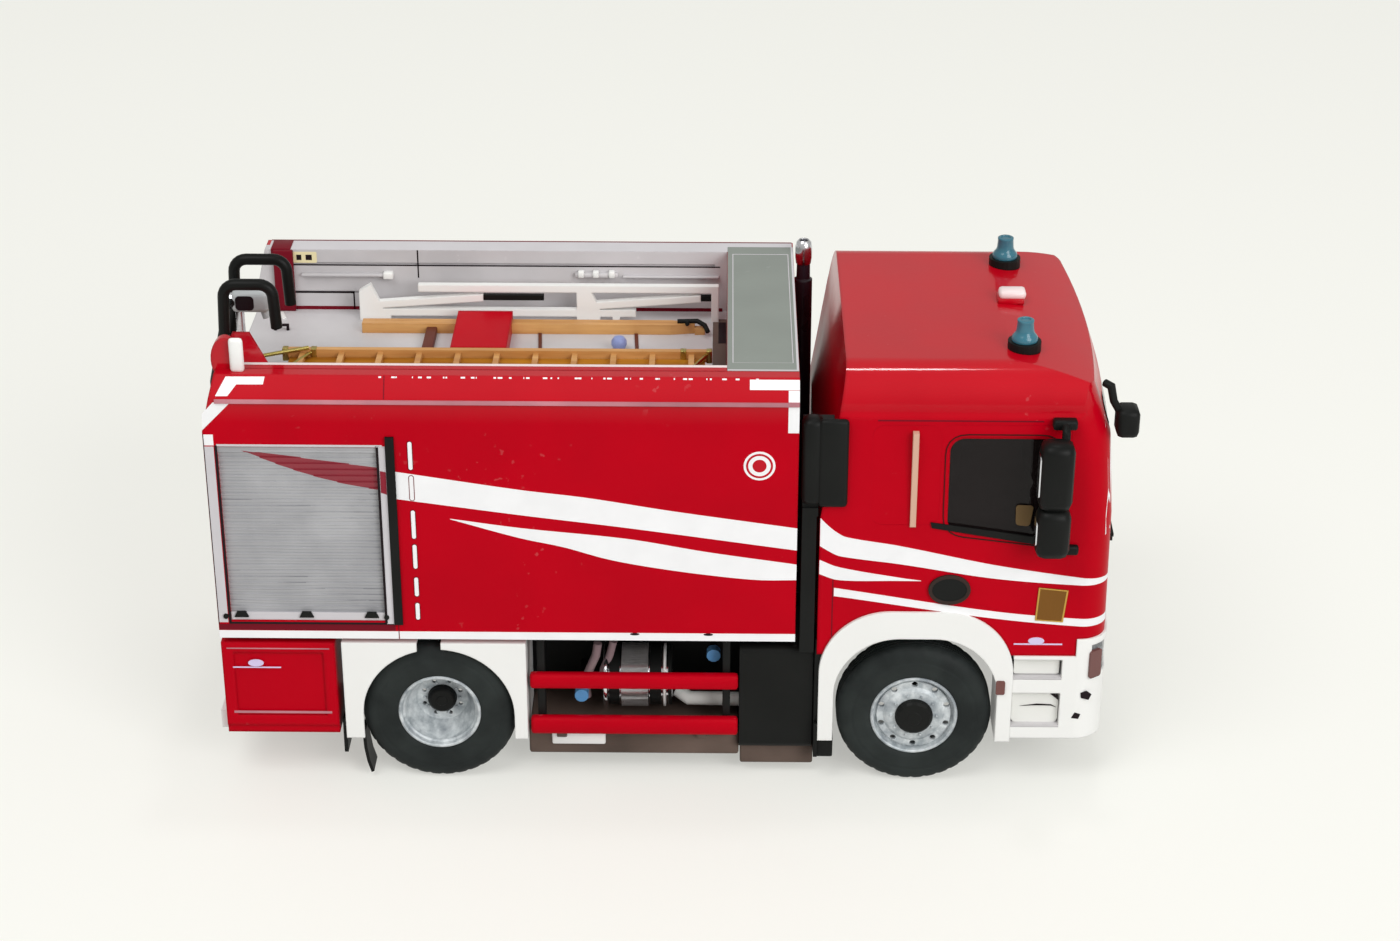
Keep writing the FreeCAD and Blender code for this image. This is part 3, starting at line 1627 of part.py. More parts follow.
def roof_lamp():
    low = cab_roof - roof_seat_sink
    rear = roof_lamp_place - roof_lamp_length / 2
    front = roof_lamp_place + roof_lamp_length / 2
    wedge = side_prism([(rear, low), (front, low), (front, low + roof_lamp_height / 2),
                        (rear + roof_lamp_height / 2, low + roof_lamp_height),
                        (rear, low + roof_lamp_height / 2)],
                       0, roof_lamp_width)
    return wedge.cut(cab_block(0))


# Mirrors

def mirror_case(bottom, top):
    bevel = mirror_corner
    return plan_prism([(mirror_rear + bevel, -mirror_inner), (mirror_rear, -mirror_inner - bevel),
                       (mirror_rear, -mirror_outer + bevel), (mirror_rear + bevel, -mirror_outer),
                       (mirror_front - bevel, -mirror_outer), (mirror_front, -mirror_outer + bevel),
                       (mirror_front, -mirror_inner - bevel), (mirror_front - bevel, -mirror_inner)],
                      bottom, top)


def main_mirrors():
    half = mirror_arm_width / 2
    arm_side = -mirror_inner - half
    pieces = [mirror_case(mirror_upper_bottom, mirror_upper_top),
              mirror_case(mirror_lower_bottom, mirror_lower_top),
              block(mirror_arm_place - half, mirror_arm_place + half, arm_side - half,
                    arm_side + half, mirror_arm_bottom, mirror_arm_top)]
    for height in (mirror_arm_top - half, mirror_arm_bottom + half):
        pieces.append(block(mirror_arm_place - half, mirror_arm_place + half,
                            arm_side - half, -cab_half_width + cab_wall,
                            height - half, height + half))
    return both_sides(fused(pieces).cut(cab_block(0)))


def kerb_mirror():
    front = kerb_mirror_front
    rear = front - kerb_mirror_depth
    right = -kerb_mirror_outer
    case = block(rear, front, right, right + kerb_mirror_width,
                 kerb_mirror_bottom, kerb_mirror_top)
    case = softened(case, Vec(1, 0, 0), kerb_mirror_corner)
    middle = right + kerb_mirror_width / 2
    half = kerb_arm_width / 2
    elbow = Vec(rear + kerb_mirror_depth / 2, middle, kerb_arm_crest)
    stem = block(elbow.x - half, elbow.x + half, middle - half, middle + half,
                 kerb_mirror_top - half, kerb_arm_crest + half)
    arm = beam(Vec(kerb_arm_root_place, middle, kerb_arm_root_height), elbow,
               kerb_arm_width, Vec(0, 1, 0))
    return fused([case, stem, arm]).cut(cab_block(0))


# Behind the cab

def exhaust_stack():
    step = stack_step_height - box_top
    height = stack_top - box_top
    profile = [(0, stack_lower_radius), (step, stack_lower_radius), (step, stack_radius),
               (height - stack_tip, stack_radius), (height, stack_radius - stack_tip)]
    return turned_with_flats(profile, stack_sides, Vec(stack_place, stack_side, box_top),
                             Vec(0, 0, 1), Vec(1, 0, 0))


def air_snorkel():
    trunk = block(snorkel_rear, snorkel_front, -snorkel_outer, -snorkel_inner,
                  snorkel_bottom, snorkel_top)
    hood = side_prism([(snorkel_front, snorkel_top - snorkel_hood_height),
                       (snorkel_front + snorkel_hood_length,
                        snorkel_top - snorkel_hood_height / 2),
                       (snorkel_front + snorkel_hood_length, snorkel_top),
                       (snorkel_front, snorkel_top)], -snorkel_outer, -snorkel_inner)
    duct = block(snorkel_rear, snorkel_rear + snorkel_duct_length, -snorkel_outer,
                 -snorkel_inner, box_top, snorkel_bottom)
    trunk = fused([trunk, hood, duct])
    pitch = (snorkel_top - snorkel_bottom) / snorkel_rib_count
    for number in range(snorkel_rib_count):
        low = snorkel_bottom + pitch * number + (pitch - snorkel_rib_height) / 2
        trunk = trunk.cut(block(snorkel_rear, snorkel_front + snorkel_hood_length,
                                -snorkel_outer - cut_over,
                                -snorkel_outer + snorkel_rib_depth,
                                low, low + snorkel_rib_height))
    return trunk.cut(cab_block(0))


# Roof load

def rung_places(rear, front):
    count = int((front - rear) / rung_pitch)
    spare = (front - rear - count * rung_pitch) / 2
    return [rear + spare + rung_pitch * number for number in range(count + 1)]


def ladder_section(rear, front, right, left, top):
    bottom = top - stile_height
    half = rung_size / 2
    middle = (top + bottom) / 2
    pieces = [block(rear, front, right, right + stile_width, bottom, top),
              block(rear, front, left - stile_width, left, bottom, top)]
    for place in rung_places(rear + half, front - half):
        pieces.append(block(place - half, place + half, right + stile_width / 2,
                            left - stile_width / 2, middle - half, middle + half))
    return fused(pieces)


def roof_ladder():
    return ladder_section(ladder_rear, ladder_front, ladder_right, ladder_left, ladder_top)


def roof_ladder_fly():
    inset = stile_width + fly_inset
    return ladder_section(ladder_rear + fly_end_inset, ladder_front - fly_end_inset,
                          ladder_right + inset, ladder_left - inset, ladder_top - fly_drop)


def ladder_saddles():
    main_bottom = ladder_top - stile_height
    fly_bottom = main_bottom - fly_drop
    seat_right = ladder_right + stile_width + fly_inset / 2
    seat_left = ladder_left - stile_width - fly_inset / 2
    pieces = []
    for share in saddle_places_share:
        place = ladder_rear + (ladder_front - ladder_rear) * share
        saddle = block(place, place + saddle_length, ladder_right - saddle_overhang,
                       ladder_left + saddle_overhang, deck_top, main_bottom)
        seat_cut = block(place - cut_over, place + saddle_length + cut_over,
                         seat_right, seat_left, fly_bottom, main_bottom + cut_over)
        pieces.append(saddle.cut(seat_cut))
    return Part.makeCompound(pieces)


def hook_pole():
    right = pole_side - pole_width / 2
    left = pole_side + pole_width / 2
    shaft = block(pole_rear, pole_front, right, left, deck_top, deck_top + pole_height)
    tip_front = pole_front + pole_tip_length
    tip = plan_prism([(pole_front, right), (tip_front, pole_side - pole_tip_half),
                      (tip_front, pole_side + pole_tip_half), (pole_front, left)],
                     deck_top, deck_top + pole_height)
    hook = block(tip_front, tip_front + pole_hook_length, right, pole_side + pole_tip_half,
                 deck_top, deck_top + pole_hook_height)
    return fused([shaft, tip, hook])


def load_clamp():
    clamp = block(clamp_rear, clamp_rear + clamp_length, clamp_right, clamp_left,
                  deck_top, deck_top + clamp_height)
    slot = block(clamp_rear - cut_over, clamp_rear + clamp_length + cut_over,
                 pole_side - pole_width / 2, pole_side + pole_width / 2,
                 deck_top - cut_over, deck_top + pole_height)
    return clamp.cut(slot)


def rack_bracket(rear):
    low = deck_top
    half = rack_bar / 2
    bracket = side_prism([(rear, low), (rear + rack_bracket_length, low),
                          (rear + rack_bracket_length, rack_base_top),
                          (rear + rack_bracket_length / 2, rack_upper_top),
                          (rear, rack_upper_top - rack_bar)],
                         rack_side - half, rack_side + half)
    start = rear + rack_bracket_length / 2
    arm = side_prism([(start, rack_base_top), (start, rack_base_top + rack_bar),
                      (start + rack_arm_length, rack_arm_end_height),
                      (start + rack_arm_length, rack_arm_end_height - rack_bar)],
                     rack_side - half, rack_side + half)
    return [bracket, arm]


def rack_frame():
    half = rack_bar / 2
    base = block(rack_rear, rack_front, rack_side - half, rack_side + half,
                 rack_base_top - rack_bar, rack_base_top)
    upper = block(rack_upper_rear, rack_upper_front, rack_side - half, rack_side + half,
                  rack_upper_top - rack_bar, rack_upper_top)
    pieces = [base, upper] + rack_bracket(rack_rear) + rack_bracket(rack_second_bracket)
    for place in (rack_rear + rack_bracket_length, rack_front - rack_bracket_length):
        pieces.append(block(place, place + rack_bar, rack_side - half, rack_side + half,
                            deck_top, rack_base_top))
    upright = rack_upper_front - rack_bar
    pieces.append(block(upright, rack_upper_front, rack_side - half, rack_side + half,
                        deck_top, rack_upper_top))
    return fused(pieces)


def rack_struts():
    height = rack_arm_end_height - rack_bar / 2
    first = rack_rear + rack_bracket_length / 2 + rack_arm_length
    second = rack_second_bracket + rack_bracket_length / 2 + rack_arm_length
    struts = []
    for start, end in ((first, rack_second_bracket - rack_rod_gap),
                       (second, rack_upper_front - rack_bar)):
        struts.append(beam(Vec(start, rack_side, height), Vec(end, rack_side, height),
                           2 * rack_rod_radius, Vec(0, 1, 0)))
    return Part.makeCompound(struts)


# Rear ladder and work lamp

def hoop(side):
    rear = hoop_rear - hoop_tube
    front = hoop_front - hoop_tube
    top = hoop_top - hoop_tube
    bend = hoop_bend - hoop_tube
    points = [Vec(rear, side, rear_ladder_bottom)]
    for centre_x, way in ((rear + bend, -1), (front - bend, 1)):
        turns = range(hoop_bend_steps + 1)
        if way > 0:
            turns = reversed(turns)
        for number in turns:
            angle = math.pi / 2 * number / hoop_bend_steps
            points.append(Vec(centre_x + way * bend * math.cos(angle), side,
                              top - bend + bend * math.sin(angle)))
    points.append(Vec(front, side, hoop_free_end))
    path = Part.makePolygon(points)
    ring = ring_corners(points[0], hoop_tube, hoop_sides, Vec(1, 0, 0), Vec(0, 1, 0), first=half_step)
    ring = Part.makePolygon(ring + ring[:1])
    return path.makePipeShell([ring], True, False, 1)


def rear_ladder():
    rear = hoop_rear - hoop_tube
    half = rear_rung_size / 2
    pieces = [hoop(hoop_right), hoop(hoop_left)]
    count = int((body_ridge - rear_rung_start) / rear_rung_pitch) + 1
    for number in range(count):
        height = rear_rung_start + rear_rung_pitch * number
        pieces.append(block(rear - half, rear + half, hoop_right, hoop_left,
                            height - half, height + half))
    for side in (hoop_right, hoop_left):
        for height in (rear_ladder_bottom + hoop_bracket_height,
                       rear_slope_start - 2 * hoop_bracket_height):
            pieces.append(block(rear, body_rear, side - hoop_tube, side + hoop_tube,
                                height, height + hoop_bracket_height))
    return fused(pieces)


def work_lamp():
    start = Vec(work_lamp_place - work_lamp_length / 2, work_lamp_side, work_lamp_height)
    barrel_radius = work_lamp_radius - work_lamp_rim
    rim_length = work_lamp_length / 4
    barrel = turned_with_flats([(0, work_lamp_radius), (rim_length, work_lamp_radius),
                                (rim_length, barrel_radius), (work_lamp_length, barrel_radius)],
                               work_lamp_sides, start, Vec(1, 0, 0), Vec(0, 1, 0))
    half = work_lamp_post / 2
    post_rear_face = body_rear + rear_slope_run
    post = block(post_rear_face, post_rear_face + work_lamp_post_thickness,
                 work_lamp_side - half, work_lamp_side + half, deck_top, work_lamp_height)
    return fused([barrel, post])


# Small outside pieces

def grab_strips():
    strip = block(grab_place, grab_place + grab_width, -cab_half_width - grab_stand,
                  -cab_half_width + cab_wall / 2, grab_top - grab_length, grab_top)
    return both_sides(strip.cut(cab_block(0)))


def door_handles():
    centre = Vec(handle_place, -cab_half_width - handle_thickness, handle_middle)
    stretch = handle_length / handle_height
    outline = ring_corners(centre, handle_height / 2, handle_sides, Vec(stretch, 0, 0),
                           Vec(0, 0, 1))
    oval = polygon_face(outline).extrude(Vec(0, cab_wall, 0))
    return both_sides(oval.cut(cab_block(0)))


def tail_bumper():
    return block(body_rear - tail_bumper_stand, body_rear, -body_half_width + body_wall,
                 body_half_width - body_wall, locker_bottom,
                 locker_bottom + tail_bumper_height)


def tail_lamps():
    outer = -body_half_width + 2 * body_wall
    lamp = block(body_rear - tail_lamp_stand, body_rear, outer, outer + tail_lamp_width,
                 tail_lamp_bottom, tail_lamp_bottom + tail_lamp_height)
    return both_sides(lamp)


pieces = {
    "chassis_frame": chassis_frame,
    "body_subframe": body_subframe,
    "drawbar_coupling": drawbar_coupling,
    "body_box": body_box,
    "gutter_rails": gutter_rails,
    "roof_tray": roof_tray,
    "locker_lid": locker_lid,
    "corner_header": corner_header,
    "side_shutters": side_shutters,
    "tail_shutter": tail_shutter,
    "shutter_posts": shutter_posts,
    "rear_lockers": rear_lockers,
    "rear_fenders": rear_fenders,
    "mudflaps": mudflaps,
    "side_guards": side_guards,
    "chassis_boxes": chassis_boxes,
    "exhaust_drum": exhaust_drum,
    "side_pipe": side_pipe,
    "drain_caps": drain_caps,
    "drain_stems": drain_stems,
    "air_tank": air_tank,
    "cab_shell": cab_shell,
    "side_windows": side_windows,
    "windscreen": windscreen,
    "grille": grille,
    "cab_floor": cab_floor,
    "cab_seats": cab_seats,
    "dashboard": dashboard,
    "steering_wheel": steering_wheel,
    "front_bumper": front_bumper,
    "headlamps": headlamps,
    "step_treads": step_treads,
    "front_fenders": front_fenders,
    "wipers": wipers,
    "beacon_bases": beacon_bases,
    "beacon_domes": beacon_domes,
    "roof_lamp": roof_lamp,
    "main_mirrors": main_mirrors,
    "kerb_mirror": kerb_mirror,
    "exhaust_stack": exhaust_stack,
    "air_snorkel": air_snorkel,
    "roof_ladder": roof_ladder,
    "roof_ladder_fly": roof_ladder_fly,
    "ladder_saddles": ladder_saddles,
    "hook_pole": hook_pole,
    "load_clamp": load_clamp,
    "rack_frame": rack_frame,
    "rack_struts": rack_struts,
    "rear_ladder": rear_ladder,
    "work_lamp": work_lamp,
    "grab_strips": grab_strips,
    "door_handles": door_handles,
    "tail_bumper": tail_bumper,
    "tail_lamps": tail_lamps,
    "front_axle_rod": front_axle_rod,
    "front_rims": front_rims,
    "front_tyres": front_tyres,
    "rear_axle_rod": rear_axle_rod,
    "rear_rims": rear_rims,
    "rear_tyres": rear_tyres,
}


os.makedirs("parts", exist_ok=True)
for name, make in pieces.items():
    shape = make()
    shape.translate(Vec(-model_middle, 0, 0))
    shape.exportStep("parts/" + name + ".step")
    low = shape.BoundBox
    print(name, shape.isValid(), len(shape.Solids), round(shape.Volume, 2),
          [round(v, 2) for v in (low.XMin, low.XMax, low.YMin, low.YMax, low.ZMin, low.ZMax)])
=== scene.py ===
import json
import math

import bmesh
import bpy
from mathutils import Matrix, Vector


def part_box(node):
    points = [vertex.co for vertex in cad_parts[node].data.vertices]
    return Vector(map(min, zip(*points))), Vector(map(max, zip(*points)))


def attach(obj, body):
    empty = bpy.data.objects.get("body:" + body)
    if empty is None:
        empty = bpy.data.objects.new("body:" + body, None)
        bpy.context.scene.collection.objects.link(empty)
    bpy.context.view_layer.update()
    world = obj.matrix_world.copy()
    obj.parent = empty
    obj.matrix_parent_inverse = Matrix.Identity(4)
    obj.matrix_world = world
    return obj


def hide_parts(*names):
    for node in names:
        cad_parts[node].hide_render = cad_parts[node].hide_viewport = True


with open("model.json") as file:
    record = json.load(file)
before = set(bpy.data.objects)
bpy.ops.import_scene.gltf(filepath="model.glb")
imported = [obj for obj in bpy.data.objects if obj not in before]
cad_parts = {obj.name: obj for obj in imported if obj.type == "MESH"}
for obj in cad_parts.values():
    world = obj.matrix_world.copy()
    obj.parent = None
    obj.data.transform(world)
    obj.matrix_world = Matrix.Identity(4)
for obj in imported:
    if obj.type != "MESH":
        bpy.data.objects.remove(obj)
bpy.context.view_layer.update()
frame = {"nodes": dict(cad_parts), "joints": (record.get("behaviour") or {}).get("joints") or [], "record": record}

MM = 0.001
SIDES = (-1, 1)
FORWARD, LEFT, UP = Vector((1, 0, 0)), Vector((0, 1, 0)), Vector((0, 0, 1))
axles = {joint["child"]: joint["pos_m"] for joint in frame["joints"]}
rear_axle_x = axles["rear_axle_set"][0]
front_axle = (axles["front_axle_set"][0] - rear_axle_x) / MM
axle_height = axles["rear_axle_set"][2] / MM


def at(x, y, z):
    """A point in metres from millimetres, with x counted forward from the rear axle."""
    return Vector((rear_axle_x + x * MM, y * MM, z * MM))


class Extent:
    """The box of one CAD node in millimetres, with x counted forward from the rear axle."""

    def __init__(self, node):
        low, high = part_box(node)
        self.rear, self.front = (low[0] - rear_axle_x) / MM, (high[0] - rear_axle_x) / MM
        self.right, self.left = low[1] / MM, high[1] / MM
        self.bottom, self.top = low[2] / MM, high[2] / MM


body = Extent("body_box")
lid = Extent("locker_lid")
shutter = Extent("side_shutters")
tail = Extent("tail_shutter")
cab = Extent("cab_shell")
grille = Extent("grille")
arch = Extent("front_fenders")
bumper = Extent("front_bumper")
locker = Extent("rear_lockers")


# Shader writing

class Value:
    """A socket that carries a number, with arithmetic."""

    def __init__(self, finish, socket):
        self.finish = finish
        self.socket = socket

    def math(self, operation, *others):
        sockets = dict(enumerate((self, *others)))
        return self.finish.node("ShaderNodeMath", {"operation": operation}, sockets)

    def __add__(self, other):
        return self.math("ADD", other)

    __radd__ = __add__

    def __mul__(self, other):
        return self.math("MULTIPLY", other)

    __rmul__ = __mul__

    def __sub__(self, other):
        return self.math("SUBTRACT", other)

    def __rsub__(self, other):
        return self.finish.node("ShaderNodeMath", {"operation": "SUBTRACT"}, {0: other, 1: self})

    def __truediv__(self, other):
        return self.math("DIVIDE", other)

    def above(self, other):
        return self.math("GREATER_THAN", other)

    def below(self, other):
        return self.math("LESS_THAN", other)

    def size(self):
        return self.math("ABSOLUTE")

    def part(self):
        return self.math("FRACT")

    def ramped(self, low, high, out_low=0.0, out_high=1.0):
        return self.finish.node("ShaderNodeMapRange", {"clamp": True},
                                {"Value": self, "From Min": low, "From Max": high,
                                 "To Min": out_low, "To Max": out_high})


finishes = {}
MIX_SHARE, MIX_LOW, MIX_HIGH, MIX_COLOUR = 0, 6, 7, 2


class Finish:
    """One material: a principled shader and what feeds it."""

    def __init__(self, name, **constants):
        self.material = bpy.data.materials.new(name)
        self.material.use_nodes = True
        self.tree = self.material.node_tree
        self.shader = self.tree.nodes["Principled BSDF"]
        finishes[name] = self.material
        for socket, value in constants.items():
            self.set(socket.replace("_", " "), value)

    def plug(self, socket, value):
        if isinstance(value, Value):
            self.tree.links.new(value.socket, socket)
        elif hasattr(socket.default_value, "__len__") and len(value) < len(socket.default_value):
            socket.default_value = (*value, 1)
        else:
            socket.default_value = value

    def set(self, socket, value):
        self.plug(self.shader.inputs[socket], value)

    def node(self, kind, settings=None, sockets=None, output=0):
        made = self.tree.nodes.new(kind)
        for name, value in (settings or {}).items():
            setattr(made, name, value)
        for name, value in (sockets or {}).items():
            self.plug(made.inputs[name], value)
        return Value(self, made.outputs[output])

    def place(self):
        return self.node("ShaderNodeTexCoord", output="Object")

    def axis(self, name):
        return self.node("ShaderNodeSeparateXYZ", sockets={0: self.place()}, output=name)

    def noise(self, scale, detail=3.0, rough=0.5, stretch=(1, 1, 1)):
        where = self.node("ShaderNodeVectorMath", {"operation": "MULTIPLY"},
                          {0: self.place(), 1: stretch})
        return self.node("ShaderNodeTexNoise", {},
                         {"Vector": where, "Scale": scale, "Detail": detail,
                          "Roughness": rough})

    def mix(self, share, low, high):
        return self.node("ShaderNodeMix", {"data_type": "RGBA"},
                         {MIX_SHARE: share, MIX_LOW: low, MIX_HIGH: high}, output=MIX_COLOUR)

    def relief(self, height, strength, distance, soft_edge=0.0):
        """Bump from a height, over edges that are softened by soft_edge millimetres."""
        sockets = {"Height": height, "Strength": strength, "Distance": distance * MM}
        if soft_edge:
            sockets["Normal"] = self.node("ShaderNodeBevel", {"samples": 4},
                                          {"Radius": soft_edge * MM})
        self.set("Normal", self.node("ShaderNodeBump", {}, sockets))


def srgb(red, green, blue):
    """A colour from the 0 to 255 values that it should show."""
    def linear(value):
        share = value / 255
        if share <= 0.04045:
            return share / 12.92
        return ((share + 0.055) / 1.055) ** 2.4
    return linear(red), linear(green), linear(blue)


def shade(colour, share):
    return tuple(channel * share for channel in colour)


def toward(colour, other, share):
    return tuple(a + (b - a) * share for a, b in zip(colour, other))


WHITE = (1.0, 1.0, 1.0)


# Finishes

def moulded(name, colour, rough=0.35, coat=0.0, mottle=0.06, grain=0.06, edge=0.1, metal=0.0,
            worn=0.0, shine=0.3, coat_above=None):
    """Paint or bare moulding on a small model: slight mottling, a fine grain and soft edges."""
    finish = Finish(name, Metallic=metal, Specular_IOR_Level=shine)
    cloud = finish.noise(150.0)
    fine = finish.noise(2400.0, 2.0)
    base = finish.mix(cloud.ramped(0.3, 0.7), shade(colour, 1 - mottle),
                      shade(colour, 1 + mottle * 0.4))
    if worn:
        flecks = finish.noise(1500.0, 2.0, 0.45).ramped(0.69, 0.73)
        field = finish.noise(130.0, 2.0).ramped(0.52, 0.7)
        base = finish.mix(flecks * field * worn, base, toward(colour, WHITE, 0.4))
    finish.set("Base Color", base)
    finish.set("Roughness", cloud.ramped(0.3, 0.75, rough - 0.05, rough + 0.08))
    if coat_above:
        finish.set("Coat Weight", (finish.axis("Z") / MM).ramped(*coat_above, 0.02, coat))
        finish.set("Coat Roughness", 0.08)
    elif coat:
        finish.set("Coat Weight", coat)
        finish.set("Coat Roughness", 0.09)
    finish.relief(cloud * 0.6 + fine * 0.4, grain * 10, 0.012, edge)


def printed(name, colour, rough=0.4):
    """Ink printed on the model: even colour with a faint screen and a soft sheen."""
    finish = Finish(name, Specular_IOR_Level=0.12)
    cloud = finish.noise(420.0, 2.0)
    finish.set("Base Color", finish.mix(cloud.ramped(0.35, 0.7), shade(colour, 0.955), colour))
    finish.set("Roughness", cloud.ramped(0.3, 0.7, rough - 0.04, rough + 0.06))
    finish.relief(finish.noise(3000.0, 1.0), 0.2, 0.008)


def tinted_glass(name, colour, alpha, shine=0.6):
    """Clear moulding with faint upright streaks in its tint."""
    finish = Finish(name, Roughness=0.05, Specular_IOR_Level=shine)
    streak = finish.noise(240.0, 2.0, stretch=(1, 1, 3))
    finish.set("Base Color", finish.mix(streak, shade(colour, 0.8), colour))
    finish.set("Alpha", streak.ramped(0.2, 0.8, alpha - 0.05, alpha + 0.05))


def plated(name, colour, rough, stained=0.0):
    """Bright plating that mirrors its surroundings, with a few darker smears."""
    finish = Finish(name, Metallic=1.0)
    smear = finish.noise(420.0)
    tone = finish.mix(smear, shade(colour, 0.82), colour)
    if stained:
        stain = finish.noise(260.0, 2.0).ramped(0.5, 0.62)
        tone = finish.mix(stain * stained, tone, srgb(46, 26, 24))
    finish.set("Base Color", tone)
    finish.set("Roughness", smear.ramped(0.3, 0.7, rough, rough + 0.12))
    finish.relief(smear, 0.15, 0.03, 0.05)


def tyre_rubber(name, dark, light):
    """Dull soft moulding with a close grain."""
    finish = Finish(name, Specular_IOR_Level=0.16)
    cloud = finish.noise(300.0, 4.0)
    fine = finish.noise(3200.0, 2.0)
    finish.set("Base Color", finish.mix(cloud.ramped(0.35, 0.7), dark, light))
    finish.set("Roughness", cloud.ramped(0.3, 0.7, 0.52, 0.68))
    finish.relief(fine * 0.5 + cloud * 0.5, 0.25, 0.04)


def worn_silver(name, dark, light, patches):
    """Silver paint, thinly brushed on: pale ridges with darker patches between."""
    finish = Finish(name, Metallic=0.1)
    cloud = finish.noise(1100.0, 4.0, 0.6)
    patch = finish.noise(520.0, 2.0)
    tone = finish.mix(cloud.ramped(0.35, 0.66), dark, light)
    finish.set("Base Color", finish.mix(patch.ramped(0.5, 0.72) * 0.6, tone, patches))
    finish.set("Roughness", cloud.ramped(0.3, 0.7, 0.3, 0.5))
    finish.relief(cloud, 0.35, 0.05, 0.05)


def painted_wood(name, light, dark, edge=0.06):
    """Wood colour with its grain along the model."""
    finish = Finish(name)
    grain = finish.noise(900.0, 4.0, 0.6, stretch=(0.08, 1, 1))
    cloud = finish.noise(300.0, 2.0)
    tone = finish.mix(grain.ramped(0.35, 0.65), dark, light)
    finish.set("Base Color", finish.mix(cloud.ramped(0.4, 0.75) * 0.3, tone, shade(dark, 0.8)))
    finish.set("Roughness", cloud.ramped(0.3, 0.7, 0.36, 0.52))
    finish.relief(grain, 0.35, 0.04, edge)


SLAT_PITCH = 0.26
WEDGE_START, WEDGE_TOP = -13.75, 28.62
WEDGE_TOP_SLOPE, WEDGE_LOW_SLOPE, WEDGE_LOW_CURVE = -0.142, -0.50, 0.0175
SIDE_SHUTTERS_FROM = 13.0


def shutter_print(name):
    """Grey slats with a dark line under each, and on the sides the stripe's dark red tail."""
    finish = Finish(name)
    x = finish.axis("X") / MM - rear_axle_x / MM
    z = finish.axis("Z") / MM
    wave = finish.noise(95.0, 2.0, stretch=(1, 1, 4))
    cloud = finish.noise(200.0)
    fine = finish.noise(1500.0, 2.0, 0.6, stretch=(0.25, 0.25, 1))
    grey = finish.mix(cloud.ramped(0.3, 0.7), srgb(158, 158, 162), srgb(184, 184, 187))
    rung = ((z + wave * 0.5) / SLAT_PITCH).part()
    line = rung.ramped(0.0, 0.24, 1.0, 0.0) * fine.ramped(0.35, 0.6, 0.35, 1.0)
    grey = finish.mix(line * 0.55, grey, srgb(84, 86, 92))
    run = x - WEDGE_START
    upper = z.below(run * WEDGE_TOP_SLOPE + WEDGE_TOP)
    lower = z.above(run * WEDGE_LOW_SLOPE + run * run * WEDGE_LOW_CURVE + WEDGE_TOP)
    on_side = finish.axis("Y").size().above(SIDE_SHUTTERS_FROM * MM)
    red = finish.mix(cloud, srgb(128, 34, 50), srgb(152, 46, 58))
    finish.set("Base Color", finish.mix(upper * lower * on_side * run.above(0.0), grey, red))
    finish.set("Roughness", cloud.ramped(0.3, 0.7, 0.4, 0.52))
    finish.relief(fine * 0.4 + rung * 0.6, 0.3, 0.03)


moulded("red_paint", srgb(186, 0, 24), rough=0.34, coat=0.6, mottle=0.07, worn=0.12, edge=0.42,
        shine=0.05, coat_above=(31.0, 33.6))
moulded("white_paint", srgb(240, 240, 238), rough=0.34, coat=0.1, mottle=0.02, edge=0.14)
moulded("black_plastic", srgb(23, 24, 23), rough=0.42, mottle=0.3, shine=0.12)
tyre_rubber("tyre_rubber", srgb(27, 31, 31), srgb(44, 49, 48))
worn_silver("rim_silver", srgb(150, 158, 163), srgb(214, 219, 221), srgb(104, 110, 120))
plated("bright_plating", srgb(226, 226, 230), 0.1, stained=0.5)
shutter_print("shutter_grey")
moulded("deck_grey", srgb(201, 198, 200), rough=0.42, mottle=0.14, worn=0.3)
moulded("lid_grey", srgb(136, 142, 136), rough=0.4, mottle=0.1, worn=0.2)
# This pink draws the lines on the lockers; the upper one is a painted highlight along a locker's top edge.
moulded("trim_pink", srgb(198, 134, 144), rough=0.4, mottle=0.35, edge=0.04, shine=0.1)
moulded("pipe_white", srgb(232, 232, 228), rough=0.4, mottle=0.04)
painted_wood("wood_paint", srgb(216, 164, 100), srgb(184, 126, 66))
painted_wood("amber_paint", srgb(196, 132, 24), srgb(158, 96, 10))
moulded("saddle_brown", srgb(96, 42, 30), rough=0.45, mottle=0.15)
moulded("beacon_blue", srgb(56, 114, 132), rough=0.16, coat=0.3, mottle=0.2)
moulded("cap_blue", srgb(104, 166, 222))
tinted_glass("window_glass", srgb(26, 20, 20), 0.88, 0.2)
tinted_glass("lamp_lens", srgb(150, 154, 158), 0.55)
moulded("tail_red", srgb(176, 20, 24), rough=0.12, coat=0.6, mottle=0.1)
moulded("seat_tan", srgb(196, 158, 104), rough=0.6, mottle=0.12)
moulded("strip_beige", srgb(214, 172, 150), rough=0.4)
# This white draws the printed stripes, and also the painted glints along the chamfers and the painted reflections
# down the cab's corner pillars.
printed("white_print_and_painted_glints", srgb(246, 246, 248))
printed("pale_print", srgb(206, 203, 207))
printed("dark_print", srgb(30, 20, 24))
# This dark red draws real panel seams, and also the painted shade at the foot of the deck's inner walls.
printed("seam_and_shade_red", srgb(112, 12, 30))
printed("roundel_red", srgb(190, 24, 40))
plated("gold_print", srgb(206, 166, 84), 0.3)
printed("gold_field", srgb(122, 82, 34))
printed("cream_print", srgb(232, 220, 176))
plated("brass", srgb(196, 178, 104), 0.24)
moulded("amber_lens", srgb(112, 66, 62), rough=0.15, coat=0.3, mottle=0.25)
moulded("hose_grey", srgb(150, 128, 132), rough=0.4, mottle=0.15)
moulded("tank_grey", srgb(186, 190, 192), rough=0.45)
moulded("steel_dark", srgb(44, 34, 42), rough=0.3, mottle=0.3, shine=0.4)
